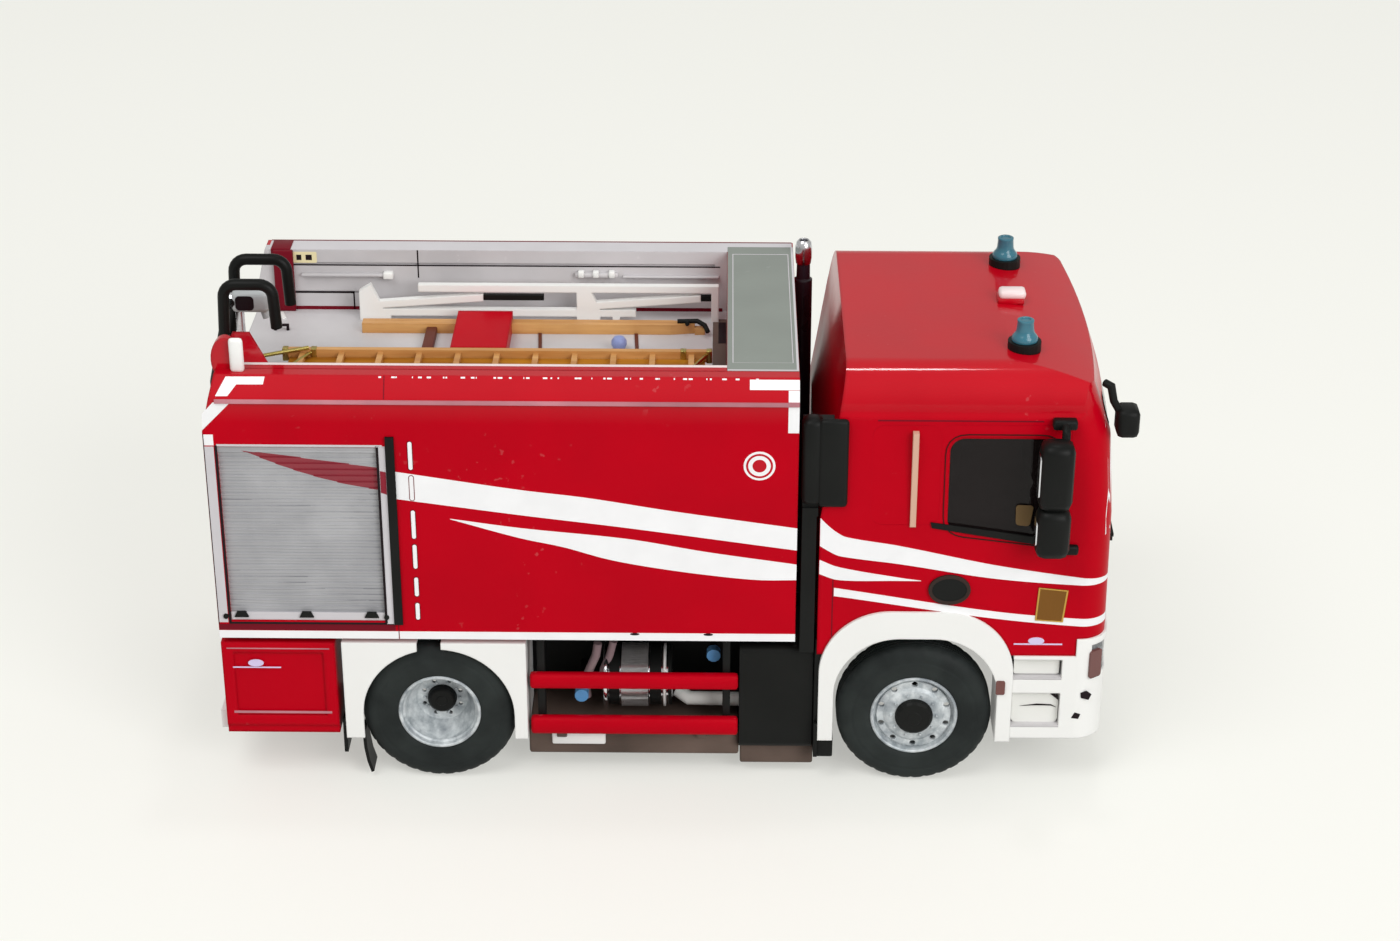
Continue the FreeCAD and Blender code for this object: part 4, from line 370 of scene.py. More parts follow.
# This near-white satin is a painted reflection: it stands in for the bright surroundings mirrored in the
# silencer's chrome bands.
moulded("painted_chrome_reflection", srgb(244, 242, 240), rough=0.26, mottle=0.3, metal=0.05)
# This dim tan is the seat's tan, darkened as painted shade behind the tinted glass.
moulded("seat_tan_in_painted_shade", srgb(112, 90, 60), rough=0.5, mottle=0.3, shine=0.1)
printed("lilac_lens", srgb(216, 204, 238))
plated("soft_chrome", srgb(222, 222, 226), 0.16)
printed("wedge_print", srgb(140, 40, 54))
# This rose white colours the roof lamp's lens, and also the painted highlight along the near coaming's inner edge.
moulded("rose_white", srgb(240, 222, 222), rough=0.3, coat=0.3, mottle=0.1)
moulded("under_brown", srgb(104, 88, 80), rough=0.5, mottle=0.4, shine=0.15)
moulded("handle_brown", srgb(48, 34, 30), rough=0.4, mottle=0.4, shine=0.2)
moulded("knob_blue", srgb(140, 152, 200), mottle=0.1)

for row in frame["record"]["subparts"]:
    node = frame["nodes"][row["node"]]
    node.data.materials.clear()
    node.data.materials.append(finishes[row["material_slot"]])


# Mesh making


def meshes(count):
    return [bmesh.new() for number in range(count)]


def shown(name, mesh):
    """An object in the scene from a finished bmesh, which it frees."""
    bmesh.ops.recalc_face_normals(mesh, faces=mesh.faces)
    data = bpy.data.meshes.new(name)
    mesh.to_mesh(data)
    mesh.free()
    made = bpy.data.objects.new(name, data)
    bpy.context.scene.collection.objects.link(made)
    return made


def piece(name, mesh, slot, body_name="root", smooth=40):
    """Puts a finished bmesh into the scene, on its body and in its finish."""
    made = shown(name, mesh)
    made.data.materials.append(finishes[slot])
    made.data.shade_smooth()
    made.data.set_sharp_from_angle(angle=math.radians(smooth))
    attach(made, body_name)
    return made


def shell(mesh, rings, closed=False):
    """A solid through rings of points in metres, which closes on itself or is filled at its ends."""
    loops = [[mesh.verts.new(point) for point in ring] for ring in rings]
    pairs = list(zip(loops, loops[1:]))
    if closed:
        pairs.append((loops[-1], loops[0]))
    else:
        for loop, order in ((loops[0], -1), (loops[-1], 1)):
            if len(loop) > 1:
                mesh.faces.new(loop[::order])
    for one, two in pairs:
        count = max(len(one), len(two))
        for index in range(count):
            after = (index + 1) % count
            corners = (one[index % len(one)], one[after % len(one)],
                       two[after % len(two)], two[index % len(two)])
            mesh.faces.new(list(dict.fromkeys(corners)))


FILM = 0.02


def surfaces(place):
    """The surfaces to work on: one place function, or a list of them that are treated alike."""
    return place if isinstance(place, list) else [place]


def slab(mesh, outline, place, top=FILM, bed=FILM):
    """A thin closed plate: its outline points (a, b) are placed by place(a, b, height)."""
    for surface in surfaces(place):
        shell(mesh, [[surface(a, b, height) for a, b in outline] for height in (-bed, top)])


def strips(mesh, place, boxes, top=FILM):
    """Rectangular plates on a surface, each from (low a, low b, high a, high b)."""
    for box in boxes:
        slab(mesh, rectangle(*box), place, top)


def frame_ring(mesh, outer, inner, place, top=FILM, bed=FILM):
    """A thin closed frame between two outlines that have as many points."""
    for surface in surfaces(place):
        shell(mesh, [[surface(a, b, height) for a, b in outline] for outline, height in
                     ((outer, top), (inner, top), (inner, -bed), (outer, -bed))], closed=True)


LEAST_WIDTH = 0.01


def ribbon(mesh, stations, low, high, place, top=FILM, bed=FILM):
    """A thin closed plate that follows a curved surface, between two edge lines."""
    for surface in surfaces(place):
        columns = []
        for station in stations:
            under = low(station)
            over = max(high(station), under + LEAST_WIDTH)
            columns.append([surface(station, edge, height) for edge, height in
                            ((under, top), (over, top), (over, -bed), (under, -bed))])
        shell(mesh, columns)


def line_through(*points):
    """A smooth line z(x) through given points, as a cubic with matched slopes."""
    slopes = []
    for index in range(len(points)):
        before = points[max(index - 1, 0)]
        after = points[min(index + 1, len(points) - 1)]
        slopes.append((after[1] - before[1]) / (after[0] - before[0]))

    def height(x):
        for (x0, z0), (x1, z1), s0, s1 in zip(points, points[1:], slopes, slopes[1:]):
            if x <= x1 or (x1, z1) == points[-1]:
                width = x1 - x0
                t = (x - x0) / width
                keep = 2 * t ** 3 - 3 * t ** 2 + 1
                reach = t ** 3 - 2 * t ** 2 + t
                pull = t ** 3 - t ** 2
                return keep * z0 + reach * width * s0 + (1 - keep) * z1 + pull * width * s1
    return height


def steps(low, high, count):
    return [low + (high - low) * index / count for index in range(count + 1)]


def rectangle(low_a, low_b, high_a, high_b):
    return [(low_a, low_b), (high_a, low_b), (high_a, high_b), (low_a, high_b)]


def arc(centre_a, centre_b, radius, start, end, parts=6):
    """Outline points along an arc, with its angles in degrees."""
    return [(centre_a + radius * math.cos(math.radians(angle)),
             centre_b + radius * math.sin(math.radians(angle)))
            for angle in steps(start, end, parts)]


def rounded(low_a, low_b, high_a, high_b, radius):
    """A rectangle with round corners, as outline points."""
    corners = ((high_a - radius, high_b - radius), (low_a + radius, high_b - radius),
               (low_a + radius, low_b + radius), (high_a - radius, low_b + radius))
    return [point for quarter, centre in enumerate(corners)
            for point in arc(*centre, radius, quarter * 90, quarter * 90 + 90, 5)]


def ellipse(centre_a, centre_b, half_a, half_b, parts=28):
    return [(centre_a + half_a * math.cos(angle), centre_b + half_b * math.sin(angle))
            for angle in steps(0, 2 * math.pi, parts)[:-1]]


def bar(mesh, low, high, edge=0.08, sides=(1,)):
    """A block between two corners, in millimetres, with its edges rounded off."""
    for side in sides:
        near, far = (side * y for y in (low[1], high[1])[::side])
        one, two = at(low[0], near, low[2]), at(high[0], far, high[2])
        made = bmesh.ops.create_cube(mesh, size=1.0)
        for vert in made["verts"]:
            across = [share * reach for share, reach in zip(vert.co, two - one)]
            vert.co = Vector(across) + (one + two) / 2
        edges = list({line for vert in made["verts"] for line in vert.link_edges})
        bmesh.ops.bevel(mesh, geom=edges, offset=edge * MM, segments=2, affect="EDGES",
                        profile=0.5)


def tube(mesh, points, radius, parts=12, sides=(1,)):
    """A round bar through points in millimetres, mitred at its bends."""
    for hand in sides:
        path = [at(x, hand * y, z) for x, y, z in points]
        rings = []
        side = None
        for index, centre in enumerate(path):
            before = (centre - path[index - 1]).normalized() if index else None
            after = (path[index + 1] - centre).normalized() if index + 1 < len(path) else None
            along = ((before or after) + (after or before)).normalized()
            if side is None:
                side = along.orthogonal().normalized()
            side = (side - along * side.dot(along)).normalized()
            up = along.cross(side)
            widen = 1 / max((after or before).dot(along), 0.5)
            reach = radius * MM * (widen + 1) / 2
            rings.append([centre + (side * math.cos(angle) + up * math.sin(angle)) * reach
                          for angle in steps(0, 2 * math.pi, parts)[:-1]])
        shell(mesh, rings)


def lathe(mesh, profile, origin, along=UP, parts=96, closed=False, change=None):
    """A solid or ring turned about an axis: profile points are (distance along, radius)."""
    across = LEFT if along == FORWARD else FORWARD
    up = along.cross(across)
    rings = []
    for number, (place, radius) in enumerate(profile):
        centre = origin + along * place * MM
        ring = []
        for step in range(parts if radius else 1):
            angle = 2 * math.pi * step / parts
            reach = (radius + (change(number, step) if change else 0)) * MM
            ring.append(centre + (across * math.cos(angle) + up * math.sin(angle)) * reach)
        rings.append(ring)
    shell(mesh, rings, closed)


# Surfaces that prints and trim lie on

def side_plane(side, half, facing=1):
    """Place function of an upright plane, for points (x, z). It looks outwards, or inwards for -1."""
    def place(x, z, height):
        return at(x, side * (half + facing * height), z)
    return place


def back_plane(x):
    """Place function of an upright plane that looks backwards, for points (y, z)."""
    def place(y, z, height):
        return at(x - height, y, z)
    return place


def top_plane(z):
    """Place function of a level plane, for points (x, y)."""
    def place(x, y, height):
        return at(x, y, z + height)
    return place


CHAMFER_WIDTH, CHAMFER_DROP = 1.05, 1.54
ridge = body.top - CHAMFER_DROP


def body_chamfer(side):
    """Place function of the slanted edge between body side and roof, for points (x, z)."""
    length = math.hypot(CHAMFER_WIDTH, CHAMFER_DROP)

    def place(x, z, height):
        run = (z - ridge) / CHAMFER_DROP * CHAMFER_WIDTH
        return at(x, side * (body.left - run + height * CHAMFER_DROP / length),
                  z + height * CHAMFER_WIDTH / length)
    return place


CAB_CORNER, CAB_BULGE = 2.2, 0.6
CAB_LEVELS = ((11.0, 0.0, 0.0), (23.0, 0.18, 0.0), (29.4, 0.65, 0.35), (35.5, 2.75, 0.65))


def cab_sets(z):
    """How far the front and the sides of the cab lean in at a height."""
    for (low, *low_sets), (high, *high_sets) in zip(CAB_LEVELS, CAB_LEVELS[1:]):
        if z <= high:
            share = (z - low) / (high - low)
            return [a + share * (b - a) for a, b in zip(low_sets, high_sets)]
    return high_sets


def cab_front(y, z, height):
    """A point on the bowed front of the cab."""
    flat = cab.left - CAB_CORNER
    radius = (flat ** 2 + CAB_BULGE ** 2) / (2 * CAB_BULGE)
    return at(cab.front - cab_sets(z)[0] - radius + math.sqrt(radius ** 2 - y ** 2) + height, y, z)


def cab_skin(side):
    """Place function of the cab's side, round its corner and on along its front."""
    def place(along, z, height):
        lean, tuck = cab_sets(z)
        turn = cab.front - CAB_BULGE - lean - CAB_CORNER
        flat = cab.left - tuck - CAB_CORNER
        angle = (along - turn) / CAB_CORNER
        reach = CAB_CORNER + height
        if angle <= 0:
            return at(along, side * (flat + reach), z)
        if angle <= math.pi / 2:
            return at(turn + reach * math.sin(angle), side * (flat + reach * math.cos(angle)), z)
        return cab_front(side * (flat + CAB_CORNER * math.pi / 2 - (along - turn)), z, height)
    return place


def on_both(surface, *settings):
    """The right-hand and the left-hand surface, for what is alike on both sides."""
    return [surface(side, *settings) for side in SIDES]


FLANKS = on_both(side_plane, body.left)
SKINS = on_both(cab_skin)
CHAMFERS = on_both(body_chamfer)


def soft_corners(points, radius, parts=5):
    """A polygon with each corner rounded."""
    outline = []
    count = len(points)
    for index, corner in enumerate(points):
        corner = Vector(corner)
        before, after = Vector(points[index - 1]), Vector(points[(index + 1) % count])
        start = corner + (before - corner).normalized() * radius
        end = corner + (after - corner).normalized() * radius
        for t in steps(0, 1, parts):
            outline.append(tuple(start * (1 - t) ** 2 + corner * 2 * t * (1 - t) + end * t ** 2))
    return outline


def grown(outline, amount):
    """An outline moved outwards, for outlines that run one way round their middle."""
    count = len(outline)
    area = sum(outline[i - 1][0] * outline[i][1] - outline[i][0] * outline[i - 1][1]
               for i in range(count))
    way = math.copysign(amount, area)
    moved = []
    for index in range(count):
        along = Vector(outline[(index + 1) % count]) - Vector(outline[index - 1])
        along.normalize()
        moved.append((outline[index][0] + along.y * way, outline[index][1] - along.x * way))
    return moved


# Stripes and marks on the sides, and painted glints along the chamfers

INK_ON_CAB = FILM * 2
STRIPE_STEPS, CORNER_STEPS, DART_STEPS = 30, 140, 20

# Each stripe: where it starts and ends, its count of steps, its upper and its lower edge
BODY_STRIPES = (
    (-2.4, body.front, STRIPE_STEPS,
     ((-2.4, 27.02), (6.79, 25.58), (11.6, 24.98), (17.24, 24.03), (20.63, 23.51),
      (27.41, 22.52)),
     ((-2.4, 24.76), (6.73, 23.49), (14.77, 22.46), (27.41, 20.66))),
    (1.5, body.front, STRIPE_STEPS,
     ((1.5, 23.14), (6.7, 22.4), (14.76, 21.53), (20.6, 20.48), (27.41, 19.46)),
     ((1.5, 23.1), (6.68, 21.55), (9.89, 20.82), (13.17, 19.82), (16.4, 19.16),
      (20.46, 18.55), (24.53, 18.12), (27.41, 18.13))))
CAB_STRIPES = (
    (29.14, 54.3, CORNER_STEPS,
     ((29.12, 23.25), (29.7, 22.62), (30.32, 22.08), (31.08, 21.64), (35.14, 20.91),
      (42.72, 19.27), (51.29, 17.96), (54.3, 17.6)),
     ((29.12, 20.9), (29.8, 20.45), (30.67, 20.03), (35.2, 19.38), (42.77, 18.15),
      (51.32, 17.53), (54.3, 17.5))),
    (29.14, 36.83, DART_STEPS,
     ((29.12, 19.7), (30.54, 19.09), (35.24, 18.2), (36.83, 17.97)),
     ((29.12, 18.5), (30.57, 17.99), (35.24, 17.95), (36.83, 17.94))),
    (30.28, 55.4, CORNER_STEPS,
     ((30.28, 17.3), (30.9, 17.2), (42.92, 15.3), (51.45, 14.6), (55.4, 14.45)),
     ((30.28, 16.6), (30.9, 16.52), (42.92, 14.7), (51.45, 13.95), (55.4, 13.9))))
DASHES = ((29.5, 27.2), (26.7, 24.67), (23.82, 21.45), (20.94, 18.9), (18.14, 16.53),
          (15.94, 14.5))
DASH_LINE, DASH_HALF, DASH_CORNER, DASH_EDGE = -1.25, 0.15, 0.149, 0.06
FOOT_STRIPE = (12.8, 13.45)
BODY_SEAM = (-2.79, FOOT_STRIPE[0], -2.72, 14.1)
FOOT_CATCHES = ((15.2, 13.36), (20.8, 13.36))
FRONT_MARK_REAR = 26.6
REAR_ROOF_MARK = ((-15.32, ridge + 0.18), (-14.42, ridge + 0.19), (-13.79, ridge + 0.91),
                  (-11.84, ridge + 0.92), (-11.73, ridge + 1.4), (-14.59, ridge + 1.39))
REAR_SIDE_MARK = ((-16.43, 30.35), (-15.29, 31.51), (-14.23, 32.6), (-15.5, 32.6),
                  (-16.38, 31.65))
SIDE_MARKS = ((-16.44, 29.1, -15.7, 29.98), (FRONT_MARK_REAR, 30.4, body.front, ridge - 0.03))
ROOF_MARKS = ((23.76, ridge + 0.77, body.front, ridge + 1.4),
              (FRONT_MARK_REAR, ridge + 0.02, body.front, ridge + 0.74))
ROOF_SEAM = (-3.02, ridge + 0.05, -2.96, body.top - 0.05)
# Painted highlights: short white glints of light along the top of each chamfer.
GLINTS, GLINT_START, GLINT_PITCH, GLINT_LENGTH = 38, -3.4, 0.74, 0.2
GLINT_LOW, GLINT_HIGH = ridge + 1.36, ridge + 1.46
ROUNDEL = (24.53, 27.7)
ROUNDEL_FIELD, ROUNDEL_RING, ROUNDEL_GAP, ROUNDEL_DOT = 1.18, 1.0, 0.84, 0.52

stripes_and_glints, seams, dark_marks = meshes(3)
for group, place, top in ((BODY_STRIPES, FLANKS, FILM), (CAB_STRIPES, SKINS, INK_ON_CAB)):
    for start, end, count, upper, lower in group:
        ribbon(stripes_and_glints, steps(start, end, count), line_through(*lower), line_through(*upper),
               place, top)
for high, low in DASHES:
    dash = rounded(DASH_LINE - DASH_HALF, low, DASH_LINE + DASH_HALF, high, DASH_CORNER)
    slab(stripes_and_glints, dash, FLANKS, FILM * 1.6)
    frame_ring(seams, grown(dash, DASH_EDGE), dash, FLANKS, FILM * 1.5)
strips(stripes_and_glints, FLANKS, [(body.rear, FOOT_STRIPE[0], body.front, FOOT_STRIPE[1]), *SIDE_MARKS])
strips(stripes_and_glints, back_plane(body.rear), [(body.right, FOOT_STRIPE[0], body.left, FOOT_STRIPE[1])])
strips(stripes_and_glints, CHAMFERS, ROOF_MARKS)
slab(stripes_and_glints, REAR_ROOF_MARK, CHAMFERS)
slab(stripes_and_glints, REAR_SIDE_MARK, FLANKS)
slab(stripes_and_glints, ellipse(*ROUNDEL, ROUNDEL_FIELD, ROUNDEL_FIELD), FLANKS)
# Each short white strip along a chamfer's top is a painted highlight, a glint of light on the edge.
for number in range(GLINTS):
    start = GLINT_START + number * GLINT_PITCH + 0.3 * math.sin(number * 2.4)
    end = start + GLINT_LENGTH + 0.14 * math.sin(number * 1.7)
    strips(stripes_and_glints, CHAMFERS, [(start, GLINT_LOW, end, GLINT_HIGH)])
strips(seams, FLANKS, [BODY_SEAM], FILM * 1.6)
strips(seams, CHAMFERS, [ROOF_SEAM])
for centre in FOOT_CATCHES:
    slab(dark_marks, ellipse(*centre, 0.36, 0.1), FLANKS, FILM * 2)
piece("stripes_and_painted_glints", stripes_and_glints, "white_print_and_painted_glints")

roundels = bmesh.new()
frame_ring(roundels, ellipse(*ROUNDEL, ROUNDEL_RING, ROUNDEL_RING),
           ellipse(*ROUNDEL, ROUNDEL_GAP, ROUNDEL_GAP), FLANKS, FILM * 1.6)
slab(roundels, ellipse(*ROUNDEL, ROUNDEL_DOT, ROUNDEL_DOT), FLANKS, FILM * 1.6)
piece("side_roundels", roundels, "roundel_red")

# Panel lines, handles and plain stickers of the cab

WINDOW = soft_corners([(38.6, 22.2), (46.6, 21.2), (46.6, 29.7), (38.6, 29.7)], 1.3)
WINDOW_SILL = ((37.35, 22.95), (37.45, 22.5), (45.6, 21.1), (47.3, 21.0), (47.3, 21.35),
               (45.5, 21.75))
REAR_PANEL = soft_corners([(32.9, 22.75), (37.9, 22.75), (37.9, 30.7), (32.9, 30.7)], 1.0)
DOOR = soft_corners([(37.95, 16.9), (38.0, 30.75), (47.5, 30.75), (47.9, 20.6),
                     (47.5, 16.6), (44.9, 14.9)], 0.8)
CAB_SEAMS = ((30.15, 13.0, 30.23, 18.0), (33.2, 31.05, 45.4, 31.15))
STICKER = ((45.72, 14.72), (47.6, 14.58), (47.85, 17.15), (45.86, 17.36))
STICKER_BORDER = 0.16
ARCH_MARKER = rounded(42.9, 8.2, 43.6, 9.4, 0.15)
CORNER_MARKER = rounded(49.9, 9.55, 50.95, 11.9, 0.2)
HANDLE = ellipse(39.0, 17.25, 1.3, 0.96)
HANDLE_RIM, HANDLE_DISH = 0.3, 0.24
BUMPER_HOLES = (((49.5, 7.86), (50.1, 7.7), (50.3, 8.2), (49.9, 8.5), (49.45, 8.3)),
                ((48.85, 6.05), (49.4, 5.98), (49.55, 6.4), (49.1, 6.55)))
RUBBER_OUT, RUBBER_IN, RUBBER_BED = 0.36, 0.3, 0.3

window_rubber, gold, cream, markers, handle_rims = meshes(5)
frame_ring(window_rubber, grown(WINDOW, RUBBER_OUT), grown(WINDOW, -RUBBER_IN), SKINS, 0.07,
           RUBBER_BED)
slab(window_rubber, WINDOW_SILL, SKINS, 0.12)
for outline, half in ((REAR_PANEL, 0.04), (DOOR, 0.035)):
    frame_ring(seams, grown(outline, half), grown(outline, -half), SKINS, FILM / 2)
strips(seams, SKINS, CAB_SEAMS)
frame_ring(gold, STICKER, grown(STICKER, -STICKER_BORDER), SKINS, 0.09)
slab(cream, grown(STICKER, -STICKER_BORDER), SKINS, 0.075)
slab(markers, ARCH_MARKER, on_both(side_plane, arch.left), 0.12)
slab(markers, CORNER_MARKER, SKINS, 0.34)
frame_ring(handle_rims, grown(HANDLE, FILM), grown(HANDLE, -HANDLE_RIM), SKINS, 0.2)
slab(handle_rims, grown(HANDLE, -HANDLE_DISH), SKINS, 0.14)
for hole in BUMPER_HOLES:
    slab(dark_marks, hole, on_both(side_plane, bumper.left))
piece("panel_lines", seams, "seam_and_shade_red")
piece("small_dark_marks", dark_marks, "dark_print")
piece("window_rubbers", window_rubber, "black_plastic")
piece("sticker_borders", gold, "gold_print")
piece("blank_stickers", cream, "gold_field")
piece("side_markers", markers, "amber_lens")
piece("handle_rims", handle_rims, "handle_brown")

# Shutter frames, foot bars and latches

SILL, HEAD = 14.15, 29.0
GUIDE_REAR, GUIDE_FRONT = -3.56, -3.08
PALE_GUIDES = ((-16.42, SILL, -15.72, HEAD), (-15.5, HEAD + 0.03, -3.3, HEAD + 0.2))
# Dark lines round the shutter: a dark line at its rear edge, painted shadow under the opening's sill, and painted
# shadow beside the front post.
GAP_AND_SHADE_LINES = ((-15.66, SILL, -15.47, HEAD + 0.1), (-15.66, 14.02, -3.05, 14.2),
             (-2.96, 14.2, -2.84, HEAD))
CORNER_GAP = (body.rear + 0.02, 14.0, -16.4, 30.0)
UNDER_LINE = (-16.44, 13.5, -3.0, 14.0)
WEDGE_TAIL = ((-3.54, 25.3), (-3.1, 25.15), (-3.1, 27.0), (-3.54, 27.1))
FOOT_BAR = (-15.45, 14.35, -3.78, 14.98)
LATCHES, LATCH_LOW, LATCH_HIGH = (-14.67, -9.72, -4.77), 14.62, 15.06
LATCH_FOOT, LATCH_HEAD = 0.55, 0.34
KNOBS = ((-15.85, 14.7), (-3.63, 14.7))
GUIDE_BACK, GUIDE_FACE, GUIDE_TOP = 13.95, 14.4, HEAD + 0.1


def latch(middle, low, high):
    """Outline of a shutter's latch, wider at its foot."""
    return [(middle - LATCH_FOOT, low), (middle + LATCH_FOOT, low),
            (middle + LATCH_HEAD, high), (middle - LATCH_HEAD, high)]


pale, under_line, wedge_tail, dark, latches = meshes(5)
strips(pale, FLANKS, PALE_GUIDES)
strips(dark, FLANKS, GAP_AND_SHADE_LINES)
strips(dark, FLANKS, [CORNER_GAP], FILM * 1.5)
strips(under_line, FLANKS, [UNDER_LINE])
slab(wedge_tail, WEDGE_TAIL, on_both(side_plane, GUIDE_FACE))
for side in SIDES:
    back, face = side * GUIDE_BACK, side * GUIDE_FACE
    bar(pale, (GUIDE_REAR, back, SILL), (GUIDE_FRONT, face, GUIDE_TOP), 0.06)
    bar(dark, (GUIDE_REAR - 0.2, back, SILL), (GUIDE_REAR, face - side * 0.04, GUIDE_TOP), 0.04)
shutter_feet = on_both(side_plane, shutter.left)
strips(pale, shutter_feet, [FOOT_BAR], 0.05)
for x in LATCHES:
    slab(latches, latch(x, LATCH_LOW, LATCH_HIGH), shutter_feet, 0.22)
for centre in KNOBS:
    slab(latches, ellipse(*centre, 0.2, 0.22, 12), FLANKS, 0.12)
piece("shutter_guides", pale, "pale_print")
piece("shutter_gap_and_shade_lines", dark, "dark_print")
piece("shutter_latches", latches, "black_plastic")
piece("shutter_foot_line", under_line, "seam_and_shade_red")
piece("wedge_tail", wedge_tail, "wedge_print")

# Deck of the roof and its inner walls

deck_top = Extent("ladder_saddles").bottom
WALL = 11.2
WALL_BACK = WALL + 0.05
far_wall = side_plane(1, WALL, -1)
deck = top_plane(deck_top)
WALL_LINES = ((-3.14, 32.0, -3.03, 34.39), (-13.3, 33.02, 21.5, 33.12),
              (-13.4, 30.6, -8.4, 30.74), (-8.5, deck_top, -8.38, 30.74))
WALL_LABEL = rounded(-13.3, 33.25, -11.3, 34.2, 0.1)
LABEL_MARKS = ((-12.95, 33.5, -12.55, 33.95), (-12.2, 33.5, -11.7, 33.95))
# Dark red strip at the foot of each inner wall: painted shade in the corner between wall and deck.
WALL_FOOT_SHADE = (-13.5, deck_top, 21.7, deck_top + 0.3)
# Each wall fitting: its two corners and the size of its rounded edges
WALL_RAILS = (((-12.6, 10.75, 32.2), (-5.2, WALL_BACK, 32.42), 0.06),
              ((9.7, 10.7, 32.25), (13.2, WALL_BACK, 32.6), 0.1),
              ((13.6, 10.8, 32.2), (21.4, WALL_BACK, 32.36), 0.05))
RAIL_END = ((-5.9, 10.6, 32.05), (-5.1, WALL_BACK, 32.6), 0.08)
CLIPS, CLIP_HALF = (10.2, 11.4, 12.7), 0.25
BEARER = ((-2.05, -1.6, deck_top - 0.05), (-1.2, 7.4, 29.72), 0.08)
STRAPS, STRAP_HALF = (((7.27, 3.2), (6.9, 8.9)), ((14.95, 3.3), (14.66, 8.9))), 0.14
LOOP_REAR, LOOP_FRONT, LOOP_SIDE, LOOP_TOP = -14.3, -13.3, 6.88, deck_top + 0.45
DECK_MARK = ((-14.55, 10.45), (-14.2, 10.55), (-13.75, 9.2), (-14.1, 9.1))
KNOB_PLACE = (13.53, 3.3, deck_top)
KNOB_PROFILE = ((0, 0.42), (0.25, 0.5), (0.5, 0.62), (0.85, 0.6), (1.1, 0.42), (1.2, 0.0))
DECK_END, DECK_END_MAT = 22.05, (20.95, -6.4, 22.05, 9.5)
DECK_END_GAPS = ((20.9, -WALL + FILM, DECK_END, -6.4), (21.4, 4.6, 22.0, 8.8))

deck_dark, deck_white, deck_rails, wall_foot_shade, bearers, straps, label = meshes(7)
strips(deck_dark, far_wall, WALL_LINES)
strips(deck_dark, far_wall, LABEL_MARKS, FILM * 2)
slab(label, WALL_LABEL, far_wall)
strips(wall_foot_shade, on_both(side_plane, WALL, -1), [WALL_FOOT_SHADE])
for rail in WALL_RAILS:
    bar(deck_rails, *rail)
bar(deck_white, *RAIL_END)
for x in CLIPS:
    bar(deck_white, (x - CLIP_HALF, 10.5, 32.3), (x + CLIP_HALF, 11.1, 32.85), 0.1)
bar(bearers, *BEARER)
for (near_x, near_y), (far_x, far_y) in STRAPS:
    slab(straps, [(near_x - STRAP_HALF, near_y), (near_x + STRAP_HALF, near_y),
                  (far_x + STRAP_HALF, far_y), (far_x - STRAP_HALF, far_y)], deck, 0.1)
tube(deck_dark, [(LOOP_REAR, LOOP_SIDE, deck_top), (LOOP_REAR, LOOP_SIDE, LOOP_TOP),
                 (LOOP_FRONT, LOOP_SIDE, LOOP_TOP), (LOOP_FRONT, LOOP_SIDE, deck_top)], 0.13)
slab(deck_white, DECK_MARK, deck, 0.08)
piece("deck_lines", deck_dark, "dark_print")
piece("deck_fittings_white", deck_white, "white_paint")
piece("deck_rails", deck_rails, "deck_grey")
piece("painted_wall_foot_shade", wall_foot_shade, "seam_and_shade_red")
piece("load_bearer", bearers, "saddle_brown")
piece("load_straps", straps, "saddle_brown")
piece("deck_label", label, "cream_print")

knob, deck_end, deck_gaps, lid_edges, lid_rim = meshes(5)
lathe(knob, KNOB_PROFILE, at(*KNOB_PLACE), parts=32)
piece("deck_knob", knob, "knob_blue")
strips(deck_end, deck, [DECK_END_MAT], 0.06)
piece("deck_end_mat", deck_end, "under_brown")
strips(deck_gaps, deck, DECK_END_GAPS, 0.08)
piece("deck_end_gap", deck_gaps, "dark_print")

LID_BORDER, LID_HALF = 0.13, 12.22
LID_FRONT_LINE = (body.front - 0.2, -12.0, body.front - 0.03, 12.2)
LID_SIDE_LINE = (22.13, -12.2, body.front - 0.03, -12.02)


def lid_frame(inset):
    return rectangle(lid.rear + inset, lid.right + inset, lid.front - inset, lid.left - inset)


frame_ring(lid_edges, lid_frame(0), lid_frame(LID_BORDER), top_plane(lid.top))
strips(lid_edges, top_plane(body.top), [LID_SIDE_LINE, LID_FRONT_LINE], FILM * 3)
frame_ring(lid_rim, rectangle(22.1, -LID_HALF, body.front - FILM, LID_HALF), lid_frame(0.05),
           top_plane(body.top), FILM * 2)
piece("lid_rim", lid_rim, "lid_grey")
piece("lid_edges", lid_edges, "pale_print")

# Ladder ends and the pole's hook

ladder = Extent("roof_ladder")
pole = Extent("hook_pole")
END_LONG, END_SHORT, CLAMP, CLAMP_DROP = 2.6, 2.4, 0.45, 0.98
CLAMP_STEP = 0.06

fittings, infill, hooks = meshes(3)
for low, high in ((ladder.rear - 0.05, ladder.rear + END_LONG),
                  (ladder.front - END_SHORT, ladder.front + 0.05)):
    for right, left in ((ladder.right, ladder.right + 0.5), (ladder.left - 0.5, ladder.left)):
        for rear, front in ((low, low + CLAMP), (high - CLAMP, high)):
            bar(fittings, (rear, right - CLAMP_STEP, ladder.top - CLAMP_DROP),
                (front, left + CLAMP_STEP, ladder.top + CLAMP_STEP), 0.06)
    tube(fittings, [(low + 0.25, ladder.right, ladder.top - 0.3),
                    (high - 0.25, ladder.left, ladder.top - 0.3)], 0.14)
bar(fittings, (ladder.rear - 1.5, ladder.right + 0.2, ladder.top - 1.1),
    (ladder.rear + 0.1, ladder.right + 1.5, ladder.top - 0.35), 0.2)
tube(fittings, [(ladder.rear - 1.6, ladder.left - 1.4, ladder.top - 0.2),
                (ladder.rear + 2.0, ladder.left - 0.4, ladder.top + 0.1)], 0.16)
piece("ladder_fittings", fittings, "brass")
